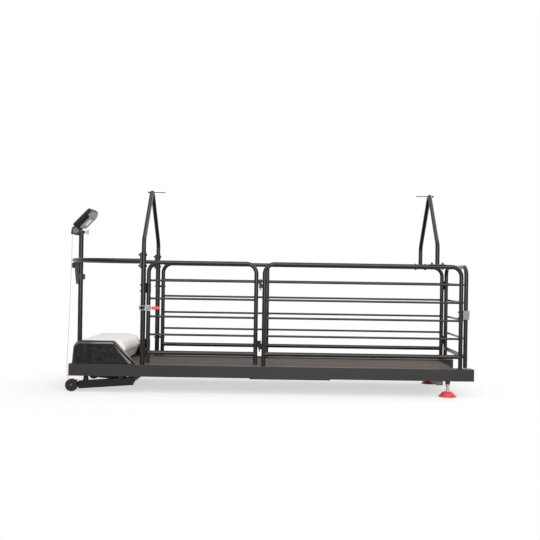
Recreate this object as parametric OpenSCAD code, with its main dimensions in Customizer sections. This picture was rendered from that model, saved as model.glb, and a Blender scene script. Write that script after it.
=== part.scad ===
// Dog treadmill: a belt deck between two box rails, with a tube pen round it.
// The front is at -X (hood, handle loop, console) and the rear gate is at +X.
// The near side, with the side gate, is at -Y. The floor is Z = 0.

/* [Base frame] */
// Front end of the box rails
rail_front_x = -1164; // [-1200:1:-1120]
// Length of a box rail
rail_l = 2396; // [2300:1:2500]
// Width of a box rail
rail_w = 60; // [50:1:75]
// Height of a box rail
rail_h = 70; // [60:1:85]
// Underside of the rails above the floor
rail_z = 95; // [85:1:120]
// Wall of the box rails
rail_wall = 3; // [2:0.5:5]
// Distance between the rails' centre lines
rail_pitch = 664; // [600:1:760]
// Thickness of the rail end caps
cap_t = 3; // [2:0.5:6]
// Depth of the front cross-member, along the rails
front_beam_w = 54; // [45:1:58]
// Width of the deck cross-members
cross_w = 40; // [30:1:60]
// Height of the deck cross-members
cross_h = 30; // [24:1:31]
// Wall of the cross-members
cross_wall = 2; // [1.5:0.5:3]
// Width of the inner ledge along a rail's top
ledge_w = 27; // [15:1:28]
// Length of the splice bar under a rail
splice_l = 476; // [300:1:600]
// Thickness of the splice bar under a rail
splice_t = 6; // [4:1:10]

/* [Belt drive] */
// Thickness of the running belt
belt_t = 3; // [2:0.5:4]
// Width of the running belt
belt_w = 544; // [480:1:548]
// Top of the running belt below the rail top
belt_drop = 5; // [3:0.5:8]
// Diameter of the belt rollers
roller_d = 54; // [48:1:56]
// Journal diameter of the belt rollers
journal_d = 20; // [16:1:24]
// Axis of the front roller, from the rails' front end
front_roller_dx = 154; // [150:1:180]
// Axis of the rear roller, from the rails' rear end
rear_roller_dx = 107; // [90:1:120]
// Thickness of the running deck
deck_t = 20; // [16:1:22]
// Width of the running deck
deck_w = 580; // [550:1:590]
// Diameter of the pulley on the front roller
roller_pulley_d = 72; // [60:1:74]
// Diameter of the pulley on the motor
motor_pulley_d = 30; // [26:1:36]
// Width of the drive pulleys
pulley_w = 12; // [10:0.5:13]
// Thickness of the drive belt
drive_belt_t = 3; // [2:0.5:4]
// Diameter of the motor
motor_d = 96; // [80:1:100]
// Length of the motor body
motor_l = 205; // [150:1:220]
// Motor axis ahead of the front roller axis
motor_dx = 62; // [58:1:70]
// Motor axis above the rail top
motor_dz = 52; // [50:1:60]

/* [Pen] */
// Distance between the two side fences
fence_pitch = 660; // [620:1:700]
// Outside diameter of the fence tubes
tube_d = 25; // [22:0.5:28]
// Wall of the fence tubes
tube_wall = 1.5; // [1.2:0.1:3]
// Diameter of the fence bars
bar_d = 13; // [10:0.5:16]
// Number of bars between the top and bottom tubes
bar_count = 4; // [3:1:5]
// Axis of the top tube above the rail top
fence_h = 608; // [560:1:660]
// Axis of the bottom tube above the rail top
sill_h = 72; // [60:1:90]
// Bend radius of the fence corners
bend_r = 60; // [45:1:80]
// Clear height under the gates' legs
gate_clear = 11; // [8:1:25]
// Axis of the front posts
post_x = -735; // [-760:1:-720]
// Post axis to the side gate's front leg
gate_gap = 32; // [30:0.5:36]
// Length of the side gate between its legs' axes
gate_l = 640; // [600:1:680]
// Side gate's rear leg to the fixed panel's front leg
hinge_gap = 49; // [46:1:56]
// Length of the fixed near panel between its legs' axes
panel_l = 1171; // [1120:1:1200]
// Fixed panels' rear legs to the rear gate's plane
rear_gap = 29; // [28.5:0.5:34]
// Post axis to the far panel's front leg
far_gap = 36; // [32:0.5:42]
// Height of a hinge knuckle
knuckle_h = 25; // [18:1:34]
// Diameter of a hinge knuckle
knuckle_d = 16; // [14:0.5:18]
// Diameter of the hinge pins
hinge_pin_d = 8; // [6:0.5:9]
// Length of hinge pin showing below the knuckles
pin_tail = 15; // [8:1:20]
// Lower hinge above the rail top
hinge_low = 125; // [100:1:140]
// Upper hinge above the rail top
hinge_high = 118; // [100:1:140]

/* [Posts and arches] */
// Outside diameter of the front posts
post_d = 30; // [29.5:0.5:31]
// Wall of the front posts
post_wall = 1.7; // [1.2:0.1:1.8]
// Length of the front posts
post_l = 670; // [650:1:720]
// Outside diameter of the arch tubes
arch_d = 26; // [24:0.5:26.2]
// Wall of the arch tubes
arch_wall = 1.5; // [1.2:0.1:2.5]
// Top of the arches above the rail top
arch_h = 1065; // [1000:1:1120]
// Bend radius at the arches' knees
knee_r = 70; // [55:1:90]
// Bend radius at the arches' tops
apex_r = 40; // [30:1:55]
// How far the front arch slides into the posts
arch_depth = 150; // [120:1:200]
// Axis of the rear arch ahead of the panels' rear legs
rear_arch_dx = 145; // [120:1:200]
// Diameter of the tether rods
hook_d = 5; // [4:0.5:7]
// Length of a tether rod past the arch tube
hook_l = 66; // [55:1:100]
// Thickness of the rear arch's saddle plates
saddle_t = 5; // [4:0.5:8]
// Length of the rear arch's saddle plates
saddle_l = 96; // [90:1:110]
// Half the distance between the saddle bolts
saddle_bolt_dx = 32; // [28:1:36]
// Thread diameter of the arch bolts
bolt_d = 8; // [6:0.5:9]
// Thread diameter of the small bolts
small_bolt_d = 5; // [4:0.5:6]

/* [Handle loop and mast] */
// Diameter of the handle loop's tube
loop_d = 25; // [22:0.5:26]
// Front of the handle loop's tube axis, ahead of the rails
loop_reach = 45; // [43:0.5:48]
// Axis of the handle loop above the rail top
loop_h = 617; // [600:1:640]
// Bend radius of the handle loop
loop_r = 300; // [240:1:310]
// Thickness of the handle loop's end plates
loop_plate_t = 6; // [4:0.5:8]
// Outside diameter of the mast
mast_d = 30; // [26:0.5:31]
// Wall of the mast
mast_wall = 2; // [1.5:0.1:3]
// Top of the mast above the rail top
mast_h = 783; // [760:1:800]
// Diameter of the clamp knob
knob_d = 36; // [30:1:37]
// Depth of the clamp knob
knob_t = 20; // [14:1:21]
// Height of the mast bracket
bracket_h = 146; // [120:1:160]
// Thickness of the mast bracket at its top
bracket_t = 19; // [16:0.5:20]

/* [Console] */
// Slope of the display above level
console_tilt = 46; // [35:1:55]
// Width of the console
console_w = 250; // [220:1:280]
// Length of the console along its slope
console_l = 144; // [136:1:160]
// Thickness of the console's front moulding
bezel_t = 14; // [12:0.5:18]
// Thickness of the console's back cover
back_t = 26; // [20:0.5:32]
// Radius of the round neck under the console
neck_r = 30; // [28:0.5:34]
// Width of the round neck under the console
neck_w = 60; // [50:1:70]
// Travel of the keys
key_travel = 3; // [2:0.5:4]
// Length of a key
key_l = 26; // [20:1:34]
// Width of a key
key_w = 16; // [12:1:18]

/* [Hood] */
// Height of the hood above the rail top
hood_h = 138; // [125:1:150]
// Wall of the hood mouldings
hood_wall = 3; // [2:0.5:4]
// Length of the hood's foot on the rails
hood_l = 374; // [350:1:400]
// Front of the hood behind the rails' front end
hood_set = 11; // [8:1:20]

/* [Lift] */
// Diameter of the front wheels
wheel_d = 74; // [66:1:80]
// Width of the front wheels
wheel_w = 28; // [20:1:30]
// Diameter of the wheel axles
axle_d = 12; // [8:0.5:16]
// Wheel axle behind the rails' front end
wheel_dx = 12; // [8:1:16]
// Wheel axle to the lift frame's pivot, along the floor
lift_l = 352; // [320:1:380]
// Height of the lift frame's pivot
lift_pivot_z = 64; // [60:1:66]
// Depth of the lift arms
arm_h = 44; // [36:1:46]
// Width of the lift arms
arm_w = 40; // [36:1:44]
// Diameter of the lift pivot pins
lift_pin_d = 16; // [12:1:20]
// Diameter of the lift actuator
actuator_d = 44; // [36:1:48]
// Diameter of the actuator's rod
rod_d = 20; // [14:1:24]

/* [Feet] */
// Base diameter of the rear feet
foot_d = 105; // [80:1:120]
// Top diameter of the rear feet
foot_top_d = 53; // [40:1:60]
// Height of the rear feet's cone
foot_h = 30; // [24:1:36]
// Diameter of the feet's spindles
spindle_d = 18; // [14:1:20]
// Foot axis ahead of the rails' rear end
foot_dx = 148; // [130:1:170]

/* [Hidden] */
$fn = 48;

// Clearances
fit = 0.05;
gap = 0.3;
eps = 0.5;

// Levels
rail_top = rail_z + rail_h;
fence_top = rail_top + fence_h;
sill_z = rail_top + sill_h;
gate_foot = rail_top + gate_clear;
loop_z = rail_top + loop_h;
mast_top = rail_top + mast_h;
arch_top = rail_top + arch_h;
post_top = rail_top + post_l;
belt_top = rail_top - belt_drop;

// Stations along the frame
rail_rear_x = rail_front_x + rail_l;
gate_front_x = post_x + gate_gap;
gate_rear_x = gate_front_x + gate_l;
panel_front_x = gate_rear_x + hinge_gap;
panel_rear_x = panel_front_x + panel_l;
rear_gate_x = panel_rear_x + rear_gap;
far_front_x = post_x + far_gap;
far_mid_x = panel_front_x + 9;
rear_arch_x = panel_rear_x - rear_arch_dx;
loop_front_x = rail_front_x - loop_reach;
mast_x = rail_front_x - mast_d/2;
wheel_x = rail_front_x + wheel_dx;
lift_pivot_x = wheel_x + lift_l;
foot_x = rail_rear_x - foot_dx;
front_roller_x = rail_front_x + front_roller_dx;
rear_roller_x = rail_rear_x - rear_roller_dx;

// Lines across the frame
fence_y = fence_pitch/2;
rail_y = rail_pitch/2;
rail_in_y = rail_y - rail_w/2;

// Belt loop
loop_in_r = roller_d/2 + gap;
loop_out_r = loop_in_r + belt_t;
roller_z = belt_top - loop_out_r;
deck_top = belt_top - belt_t - 0.6;
bearing_t = 12;
pulley_y = rail_in_y - bearing_t - 1 - pulley_w/2;

// A rod along one axis of the frame
module rod_x(x0, x1, y, z, d) translate([x0, y, z]) rotate([0, 90, 0]) cylinder(d = d, h = x1 - x0);
module rod_y(x, y0, y1, z, d) translate([x, y0, z]) rotate([-90, 0, 0]) cylinder(d = d, h = y1 - y0);
module rod_z(x, y, z0, z1, d) translate([x, y, z0]) cylinder(d = d, h = z1 - z0);

// A block between two corners
module block(p, q) translate(p) cube(q - p);

// A flat outline in the XZ plane, thickened from y0 to y1
module plate_xz(y0, y1) translate([0, y1, 0]) rotate([90, 0, 0]) linear_extrude(y1 - y0) children();

// A bar with round ends between two points of a flat outline, narrower than its ends by waist on each side
module link_2d(p, q, r, waist = 0) {
  v = q - p;
  half = r - waist;
  translate(p) circle(r);
  translate(q) circle(r);
  translate(p) rotate(atan2(v.y, v.x)) translate([0, -half]) square([norm(v), 2*half]);
}

// A tube bend in the XZ plane, between two angles
module bend_xz(c, r, d, a0, a1) {
  translate(c) rotate([90, 0, 0]) rotate([0, 0, a0])
    rotate_extrude(angle = a1 - a0) translate([r, 0]) circle(d = d);
}

// Both sides of the frame, from a near side at -Y
module both_sides() {
  children();
  mirror([0, 1, 0]) children();
}

// Points along an arc
function arc(c, r, a0, a1, n) = [for (i = [0:n]) c + r*[cos(a0 + (a1 - a0)*i/n), sin(a0 + (a1 - a0)*i/n)]];

// Box rails with the inner ledge, the splice bar, the roller bearings, the foot boss and the lift pivot plate
pivot_t = 6;
boss_h = 19;
splice_x = rail_front_x + 1071;
lift_ear_r = 20;
bearing_w = 44;
ledge_t = 3;
ledge_front_x = rail_front_x + 290;

module rail_blank() {
  block([rail_front_x, -rail_y - rail_w/2, rail_z], [rail_rear_x, -rail_in_y, rail_top]);
  block([ledge_front_x, -rail_in_y - 1, rail_top - ledge_t], [rail_rear_x, -rail_in_y + ledge_w, rail_top]);
  block([splice_x, -rail_y - rail_w/2 + 4, rail_z - splice_t], [splice_x + splice_l, -rail_in_y - 4, rail_z]);
  for (x = [front_roller_x, rear_roller_x])
    block([x - bearing_w/2, -rail_in_y - 1, rail_z],
          [x + bearing_w/2, -rail_in_y + bearing_t, rail_top - ledge_t]);
  translate([foot_x, -rail_y, rail_z - boss_h]) cylinder(d1 = spindle_d + 8, d2 = spindle_d + 14, h = boss_h);
  plate_xz(-rail_in_y - pivot_t, -rail_in_y) difference() {
    union() {
      translate([lift_pivot_x, lift_pivot_z]) circle(lift_ear_r);
      translate([lift_pivot_x - lift_ear_r, lift_pivot_z]) square([2*lift_ear_r, rail_z - lift_pivot_z]);
    }
    translate([lift_pivot_x, lift_pivot_z]) circle(d = lift_pin_d + 2*fit);
  }
}

module rail_solid() {
  difference() {
    rail_blank();
    block([rail_front_x - eps, -rail_y - rail_w/2 + rail_wall, rail_z + rail_wall],
          [rail_rear_x + eps, -rail_in_y - rail_wall, rail_top - rail_wall]);
    for (x = [front_roller_x, rear_roller_x])
      rod_y(x, -rail_in_y - rail_wall - eps, -rail_in_y + bearing_t + eps, roller_z, journal_d + 2*fit);
    rod_z(foot_x, -rail_y, rail_z - boss_h - eps, rail_z + rail_wall + eps, spindle_d + 2*fit);
  }
}

module rail_near() color("dimgray") rail_solid();
module rail_far() color("dimgray") mirror([0, 1, 0]) rail_solid();

// Plastic caps in the rails' open ends
module rail_end_caps() {
  plug = 12;
  color("black") both_sides() {
    block([rail_rear_x, -rail_y - rail_w/2, rail_z], [rail_rear_x + cap_t, -rail_in_y, rail_top]);
    block([rail_rear_x - plug, -rail_y - rail_w/2 + rail_wall + gap, rail_z + rail_wall + gap],
          [rail_rear_x, -rail_in_y - rail_wall - gap, rail_top - rail_wall - gap]);
    block([rail_front_x - cap_t, -rail_y - rail_w/2, rail_z], [rail_front_x, -rail_in_y, rail_top]);
    block([rail_front_x, -rail_y - rail_w/2 + rail_wall + gap, rail_z + rail_wall + gap],
          [rail_front_x + plug, -rail_in_y - rail_wall - gap, rail_top - rail_wall - gap]);
  }
}

// Tubes across the frame inside the belt loop, and the rear bar under the rails
cross_top = deck_top - deck_t;
cross_count = 4;
cross_first_x = rail_front_x + 444;
cross_last_x = rear_roller_x - 135;
cross_pitch = (cross_last_x - cross_first_x)/(cross_count - 1);
rear_bar_w = 38;
rear_bar_h = 26;
rear_bar_set = 50;
rear_bar_x = foot_x - rear_bar_set;
rear_bar_y = rail_y + 15;

module cross_tube(x, w, z0, z1, half) {
  difference() {
    block([x - w/2, -half, z0], [x + w/2, half, z1]);
    block([x - w/2 + cross_wall, -half - eps, z0 + cross_wall],
          [x + w/2 - cross_wall, half + eps, z1 - cross_wall]);
  }
}

module cross_members() {
  color("dimgray") {
    for (i = [0:cross_count - 1])
      cross_tube(cross_first_x + i*cross_pitch, cross_w, cross_top - cross_h, cross_top, rail_in_y);
    cross_tube(rear_bar_x, rear_bar_w, rail_z - rear_bar_h, rail_z, rear_bar_y);
  }
}

// Front beam with the motor cradle, and the ears under it that hold the lift actuator
motor_x = front_roller_x - motor_dx;
motor_z = rail_top + motor_dz;
motor_y1 = pulley_y - pulley_w/2 - 4;
motor_y0 = motor_y1 - motor_l;
beam_rear_x = rail_front_x + front_beam_w;
beam_top = rail_top - 2;
actuator_x = rail_front_x + 54;
actuator_z = rail_z - 19;
actuator_pin_d = 10;
fork_t = 6;
fork_in = 14;
fork_r = 11;

module front_beam() {
  cradle_t = 8;
  color("dimgray") difference() {
    union() {
      block([rail_front_x, -rail_in_y, rail_z], [beam_rear_x, rail_in_y, beam_top]);
      for (y = [motor_y0 + 20, motor_y1 - 40]) {
        block([motor_x - motor_d/2, y, beam_top - 1], [motor_x + 12, y + cradle_t, motor_z - 12]);
      }
      for (s = [-1, 1]) {
        y = s*(fork_in + fork_t/2);
        plate_xz(y - fork_t/2, y + fork_t/2) difference() {
          union() {
            translate([actuator_x, actuator_z]) circle(fork_r);
            polygon([[actuator_x - fork_r, actuator_z], [actuator_x, actuator_z - fork_r],
                     [actuator_x, rail_z + 1], [actuator_x - 30, rail_z + 1]]);
          }
          translate([actuator_x, actuator_z]) circle(d = actuator_pin_d + 2*fit);
        }
      }
    }
    block([rail_front_x + rail_wall, -rail_in_y - eps, rail_z + rail_wall],
          [beam_rear_x - rail_wall, rail_in_y + eps, beam_top - rail_wall]);
    rod_y(motor_x, motor_y0 - 5, motor_y1 + 5, motor_z, motor_d + 0.2);
  }
}

// Running deck on the cross-members
module deck() {
  color("saddlebrown")
    block([front_roller_x + loop_out_r + 20, -deck_w/2, deck_top - deck_t],
          [rear_roller_x - loop_out_r - 15, deck_w/2, deck_top]);
}

// Running belt, a closed loop round both rollers
module running_belt() {
  color([0.36, 0.33, 0.31]) plate_xz(-belt_w/2, belt_w/2) difference() {
    link_2d([front_roller_x, roller_z], [rear_roller_x, roller_z], loop_out_r);
    link_2d([front_roller_x, roller_z], [rear_roller_x, roller_z], loop_in_r);
  }
}

// Belt rollers, a tube with a journal at each end
module roller(x) {
  rod_y(x, -belt_w/2 - 4, belt_w/2 + 4, roller_z, roller_d);
  rod_y(x, -rail_in_y + 1, rail_in_y - 1, roller_z, journal_d);
}

module roller_front() {
  color("silver") roller(front_roller_x);
  color("gray") ribbed_pulley(front_roller_x, roller_z, roller_pulley_d, journal_d + 2*fit);
}

module roller_rear() color("silver") roller(rear_roller_x);

// A ribbed drive pulley on a round bore
module ribbed_pulley(x, z, d, bore) {
  ribs = 4;
  rib_deep = 2;
  face = pulley_w - 4;
  translate([x, pulley_y, z]) rotate([-90, 0, 0]) difference() {
    union() {
      cylinder(d = d - 2*rib_deep, h = pulley_w, center = true);
      for (s = [-1, 1]) translate([0, 0, s*(pulley_w/2 - 1)]) cylinder(d = d, h = 2, center = true);
      for (i = [0:ribs - 1]) {
        translate([0, 0, -face/2 + (i + 0.5)*face/ribs])
          cylinder(d1 = d - 2*rib_deep, d2 = d - rib_deep, h = face/ribs/2, center = true);
      }
    }
    cylinder(d = bore, h = pulley_w + 2, center = true);
  }
}

// Motor with its shaft hole, cooling fins and end bells
shaft_d = 12;

module motor() {
  fins = 5;
  fin_pitch = motor_l/(fins + 3);
  color("dimgray") difference() {
    union() {
      rod_y(motor_x, motor_y0, motor_y1, motor_z, motor_d - 8);
      rod_y(motor_x, motor_y0 + 8, motor_y0 + 26, motor_z, motor_d);
      rod_y(motor_x, motor_y1 - 46, motor_y1 - 12, motor_z, motor_d);
      for (i = [0:fins - 1]) {
        y = motor_y0 + 34 + i*fin_pitch;
        rod_y(motor_x, y, y + fin_pitch/2, motor_z, motor_d - 2);
      }
    }
    rod_y(motor_x, motor_y1 - 60, motor_y1 + eps, motor_z, shaft_d + 2*fit);
  }
}

module motor_pulley() {
  color("silver") {
    ribbed_pulley(motor_x, motor_z, motor_pulley_d, shaft_d - 1);
    rod_y(motor_x, motor_y1 - 58, pulley_y + pulley_w/2, motor_z, shaft_d);
  }
}

// Drive belt from the motor to the front roller, as a taut open loop
module drive_belt() {
  face = pulley_w - 4.6;
  r0 = roller_pulley_d/2 - 0.4;
  r1 = motor_pulley_d/2 - 0.4;
  p0 = [front_roller_x, roller_z];
  p1 = [motor_x, motor_z];
  v = p1 - p0;
  lean = atan2(v.y, v.x);
  spread = acos((r0 - r1)/norm(v));
  color("black") plate_xz(pulley_y - face/2, pulley_y + face/2) difference() {
    belt_outline(p0, p1, r0 + drive_belt_t, r1 + drive_belt_t, lean, spread);
    belt_outline(p0, p1, r0, r1, lean, spread);
  }
}

module belt_outline(p0, p1, r0, r1, lean, spread) {
  a = [cos(lean + spread), sin(lean + spread)];
  b = [cos(lean - spread), sin(lean - spread)];
  translate(p0) circle(r0);
  translate(p1) circle(r1);
  polygon([p0 + r0*a, p0 + r0*b, p1 + r1*b, p1 + r1*a]);
}

// Motor control board on its tray, beside the motor
module control_board() {
  tray = [70, 110, 3];
  at = [rail_front_x + 34, -240, beam_top];
  color("darkgreen") {
    translate(at) cube(tray);
    translate(at + [6, 8, 3]) cube([30, 50, 26]);
    translate(at + [42, 10, 3]) cube([18, 18, 32]);
    translate(at + [42, 40, 3]) cube([18, 30, 14]);
    translate(at + [10, 68, 3]) cube([44, 34, 10]);
  }
}

// Mains inlet on the front beam's face
inlet_y = -190;
inlet_z = rail_z + rail_h/2;
inlet_t = 5;

module power_inlet() {
  color("black") difference() {
    block([rail_front_x - inlet_t, inlet_y - 25, inlet_z - 16], [rail_front_x, inlet_y + 25, inlet_z + 16]);
    block([rail_front_x - inlet_t - eps, inlet_y - 14, inlet_z - 9],
          [rail_front_x - 1, inlet_y + 14, inlet_z + 9]);
  }
}

// Hood: two glossy bulged side mouldings on the rails and a pale cover between them
hood_z = rail_top;
hood_top = rail_top + hood_h;
hood_front = rail_front_x + hood_set;
hood_rear = hood_front + hood_l;
hood_corner_r = 35;
hood_front_r = 48;
hood_lean = 8;
hood_top_rear = hood_rear - 123;
hood_nose_r = 50;
hood_nose_out = 8;
hood_nose_foot = 94;
hood_bulge = [0.5, 34, 47, 53];
hood_draw_in = [0, 0, 7, 17];
cover_gap = 0.6;

// Corner points of a rounded trapezoid, drawn in by w
function hood_side_outline(w) = concat(
  [[hood_rear - 1.9*w, hood_z], [hood_rear - 1.9*w, hood_z + 6]],
  arc([hood_top_rear - 16, hood_top - hood_corner_r], hood_corner_r - w, 42, 90, 6),
  arc([hood_front + hood_lean + hood_front_r, hood_top - hood_front_r], hood_front_r - w, 90, 175, 8),
  [[hood_front + w, hood_z]]
);

module hood_slice(y, w) translate([0, y, 0]) plate_xz(-0.5, 0.5) polygon(hood_side_outline(w));

module hood_side_blank(w) {
  hull() {
    for (i = [0:3]) hood_slice(-rail_in_y - hood_bulge[i] + w, w + hood_draw_in[i]);
  }
}

module hood_side_solid() {
  difference() {
    hood_side_blank(0);
    translate([0, hood_wall, -hood_wall]) hood_side_blank(hood_wall);
  }
}

module hood_side_near() color("black") hood_side_solid();
module hood_side_far() color("black") mirror([0, 1, 0]) hood_side_solid();

// Outline of the pale cover, with its round nose over the belt
function hood_cover_outline(w) = concat(
  arc([hood_top_rear + hood_nose_out, hood_top - hood_nose_r], hood_nose_r - w, -35, 90, 12),
  arc([hood_front + hood_lean + hood_front_r + 2, hood_top - hood_front_r], hood_front_r - w, 90, 175, 8),
  [[hood_front + 2 + w, hood_z + 1], [hood_rear - hood_nose_foot - w, hood_z + 7]]
);

module hood_cover() {
  half = rail_in_y - cover_gap;
  mouth_front = hood_front + 3 + 2*hood_wall;
  mouth_rear = hood_rear - hood_nose_foot - 3 - 2*hood_wall;
  color("whitesmoke") difference() {
    plate_xz(-half, half) polygon(hood_cover_outline(0));
    plate_xz(-half + hood_wall, half - hood_wall) polygon(hood_cover_outline(hood_wall));
    plate_xz(-half + hood_wall, half - hood_wall)
      polygon([[mouth_front, hood_z - 5], [mouth_rear, hood_z - 5], [mouth_rear, hood_z + 30],
               [mouth_front + 7, hood_z + 30]]);
  }
}

// Lift frame: two arms, the cross tube with the actuator crank, the wheel plates and the bump stops
arm_lean = atan2(lift_pivot_z - wheel_d/2, lift_l);
arm_front = lift_l - wheel_d/2 - 6;
arm_tail = 13;
neck_plate_t = 8;
lift_tube_d = 30;
stop_x = rail_front_x + 96;
crank_dx = 28;
crank_x = lift_pivot_x - crank_dx;
crank_z = lift_pivot_z - crank_dx;
crank_pin_d = 8;
crank_in = 11;
crank_t = 6;

module lift_arm() {
  translate([lift_pivot_x, -rail_y, lift_pivot_z]) rotate([0, -arm_lean, 0]) {
    block([-arm_front, -arm_w/2, -arm_h/2], [arm_tail, arm_w/2, arm_h/2]);
    plate_xz(arm_w/2 - neck_plate_t, arm_w/2 - 1) {
      translate([-lift_l/cos(arm_lean), 0]) circle(wheel_d/2 - 14);
      translate([-lift_l/cos(arm_lean), -arm_h/2 + 6]) square([60, arm_h - 12]);
    }
  }
  rod_y(wheel_x, -rail_y + arm_w/2 - neck_plate_t - wheel_w - 2, -rail_y + arm_w/2 - 3, wheel_d/2, axle_d);
  rod_y(lift_pivot_x, -rail_in_y - pivot_t - 8, -rail_in_y + 4, lift_pivot_z, lift_pin_d);
  stop_foot_z = lift_pivot_z - (lift_pivot_x - stop_x)*tan(arm_lean);
  plate_xz(-rail_y - arm_w/2 + 3, -rail_y + arm_w/2 - 3)
    polygon([[stop_x - 17, stop_foot_z], [stop_x + 17, stop_foot_z],
             [stop_x + 10, rail_z - gap], [stop_x - 10, rail_z - gap]]);
}

module lift_frame() {
  color([0.2, 0.2, 0.2]) {
    both_sides() lift_arm();
    rod_y(lift_pivot_x, -rail_in_y + gap, rail_in_y - gap, lift_pivot_z, lift_tube_d);
    for (s = [-1, 1]) {
      y = s*(crank_in + crank_t/2);
      plate_xz(y - crank_t/2, y + crank_t/2)
        link_2d([lift_pivot_x, lift_pivot_z], [crank_x, crank_z], 10, 1.5);
    }
    rod_y(crank_x, -crank_in - 1, crank_in + 1, crank_z, crank_pin_d);
  }
}

// Front wheels, with a dished face round the hub
module wheel() {
  y0 = -rail_y + arm_w/2 - neck_plate_t - gap - wheel_w;
  dish = 3;
  difference() {
    translate([wheel_x, y0, wheel_d/2]) rotate([-90, 0, 0]) rotate_extrude($fn = 64)
      polygon(concat([[axle_d/2 + fit, 0]],
        arc([wheel_d/2 - 4, 4], 4, -90, 0, 4),
        arc([wheel_d/2 - 4, wheel_w - 4], 4, 0, 90, 4),
        [[axle_d/2 + fit, wheel_w]]));
    difference() {
      rod_y(wheel_x, y0 - eps, y0 + dish, wheel_d/2, wheel_d - 20);
      rod_y(wheel_x, y0 - 1, y0 + dish + 1, wheel_d/2, axle_d + 10);
    }
  }
}

module wheel_near() color([0.15, 0.15, 0.15]) wheel();
module wheel_far() color([0.15, 0.15, 0.15]) mirror([0, 1, 0]) wheel();

// Lift actuator: a motor tube on the beam's ears, with a rod back to the lift frame's crank
reach = [crank_x - actuator_x, crank_z - actuator_z];
actuator_l = norm(reach);
actuator_lean = atan2(reach.y, reach.x);
tube_l = 184;
tube_start = 24;
crank_eye_bore = crank_pin_d + 2;

// The actuator's own frame: x runs along the rod from the beam's pin
module along_actuator() translate([actuator_x, 0, actuator_z]) rotate([0, -actuator_lean, 0]) children();

module actuator_body() {
  color("silver") along_actuator() difference() {
    union() {
      rod_x(tube_start, tube_l, 0, 0, actuator_d - 4);
      rod_x(tube_start, tube_start + 60, 0, 0, actuator_d);
      rod_x(tube_l - 14, tube_l, 0, 0, actuator_d);
      rod_x(0, tube_start + 1, 0, 0, 18);
      rod_y(0, -fork_in - fork_t, fork_in + fork_t, 0, actuator_pin_d);
    }
    rod_x(tube_start + 70, tube_l + eps, 0, 0, rod_d + 2*fit);
  }
}

module actuator_rod() {
  eye_r = 10;
  color("lightgray") along_actuator() difference() {
    union() {
      rod_x(tube_start + 72, actuator_l - eye_r + 3, 0, 0, rod_d);
      rod_y(actuator_l, -crank_in + 1, crank_in - 1, 0, 2*eye_r);
    }
    rod_y(actuator_l, -crank_in - 1, crank_in + 1, 0, crank_eye_bore);
  }
}

// Rear levelling feet: a rubber cone on a threaded spindle with a lock nut
spindle_seat = 14;

module foot_pad(side) {
  color([0.92, 0.25, 0.27]) translate([foot_x, side*rail_y, 0]) rotate_extrude($fn = 64)
    polygon([[0, 0], [foot_d/2 - 2, 0], [foot_d/2, 2], [foot_d/2, 5], [foot_top_d/2 + 2, foot_h - 2],
             [foot_top_d/2 - 1, foot_h], [spindle_d/2 + gap, foot_h], [spindle_d/2 + gap, spindle_seat],
             [0, spindle_seat]]);
}

module foot_spindle(side) {
  nut_h = 8;
  color("silver") translate([foot_x, side*rail_y, 0]) {
    translate([0, 0, spindle_seat]) cylinder(d = spindle_d, h = rail_z + 30 - spindle_seat);
    translate([0, 0, rail_z - boss_h - gap - nut_h]) cylinder(d = spindle_d + 9, h = nut_h, $fn = 6);
  }
}

module foot_pad_near() foot_pad(-1);
module foot_pad_far() foot_pad(1);
module foot_spindle_near() foot_spindle(-1);
module foot_spindle_far() foot_spindle(1);

// Front posts, with the latch keeper on the near one
post_bolt_z = [post_top - 83, post_top - 18];
upper_fix_z = min(fence_top - 151, post_bolt_z[0] - 130);
far_bolt_z = [rail_top + 118, upper_fix_z];
stop_h = 60;
stop_z = [rail_top + 122, upper_fix_z - 2];
stop_bolt_dz = 18;
stop_web = 1.6;
flat_head = 1;
bar_step = (fence_top - sill_z)/(bar_count + 1);
middle_z = sill_z + (floor(bar_count/2) + 0.5)*bar_step;
latch_z = middle_z - 3;
keeper_x = post_x - 11;
loop_rod_d = 5;
latch_y = -fence_y - tube_d/2 - 11.5;

module post_tube(y) {
  difference() {
    rod_z(post_x, y, rail_top, post_top, post_d);
    rod_z(post_x, y, rail_top - eps, post_top + eps, post_d - 2*post_wall);
    for (z = post_bolt_z) rod_x(post_x - post_d, post_x + post_d, y, z, bolt_d + 0.4);
    children();
  }
}

module post_near() {
  color("black") {
    post_tube(-fence_y) {
      for (z = stop_z) for (s = [-1, 1])
        rod_x(post_x - post_d, post_x + post_d, -fence_y, z + s*stop_bolt_dz, small_bolt_d + 0.4);
    }
    difference() {
      block([keeper_x - 4, latch_y - loop_rod_d/2 - 2, latch_z - 6], [keeper_x + 4, -fence_y, latch_z + 6]);
      rod_z(post_x, -fence_y, latch_z - 7, latch_z + 7, post_d - 0.2);
    }
  }
}

module post_far() {
  color("black") post_tube(fence_y) {
    for (z = far_bolt_z) rod_x(post_x - post_d, post_x + post_d, fence_y, z, small_bolt_d + 0.4);
  }
}

// A fence frame in the XZ plane: bent top tube with two legs, a sill tube and bars
module fence_tubes(x0, x1, foot0, foot1, d) {
  rod_z(x0, 0, foot0, fence_top - bend_r, d);
  rod_z(x1, 0, foot1, fence_top - bend_r, d);
  rod_x(x0 + bend_r, x1 - bend_r, 0, fence_top, d);
  bend_xz([x0 + bend_r, 0, fence_top - bend_r], bend_r, d, 90, 180);
  bend_xz([x1 - bend_r, 0, fence_top - bend_r], bend_r, d, 0, 90);
}

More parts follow.
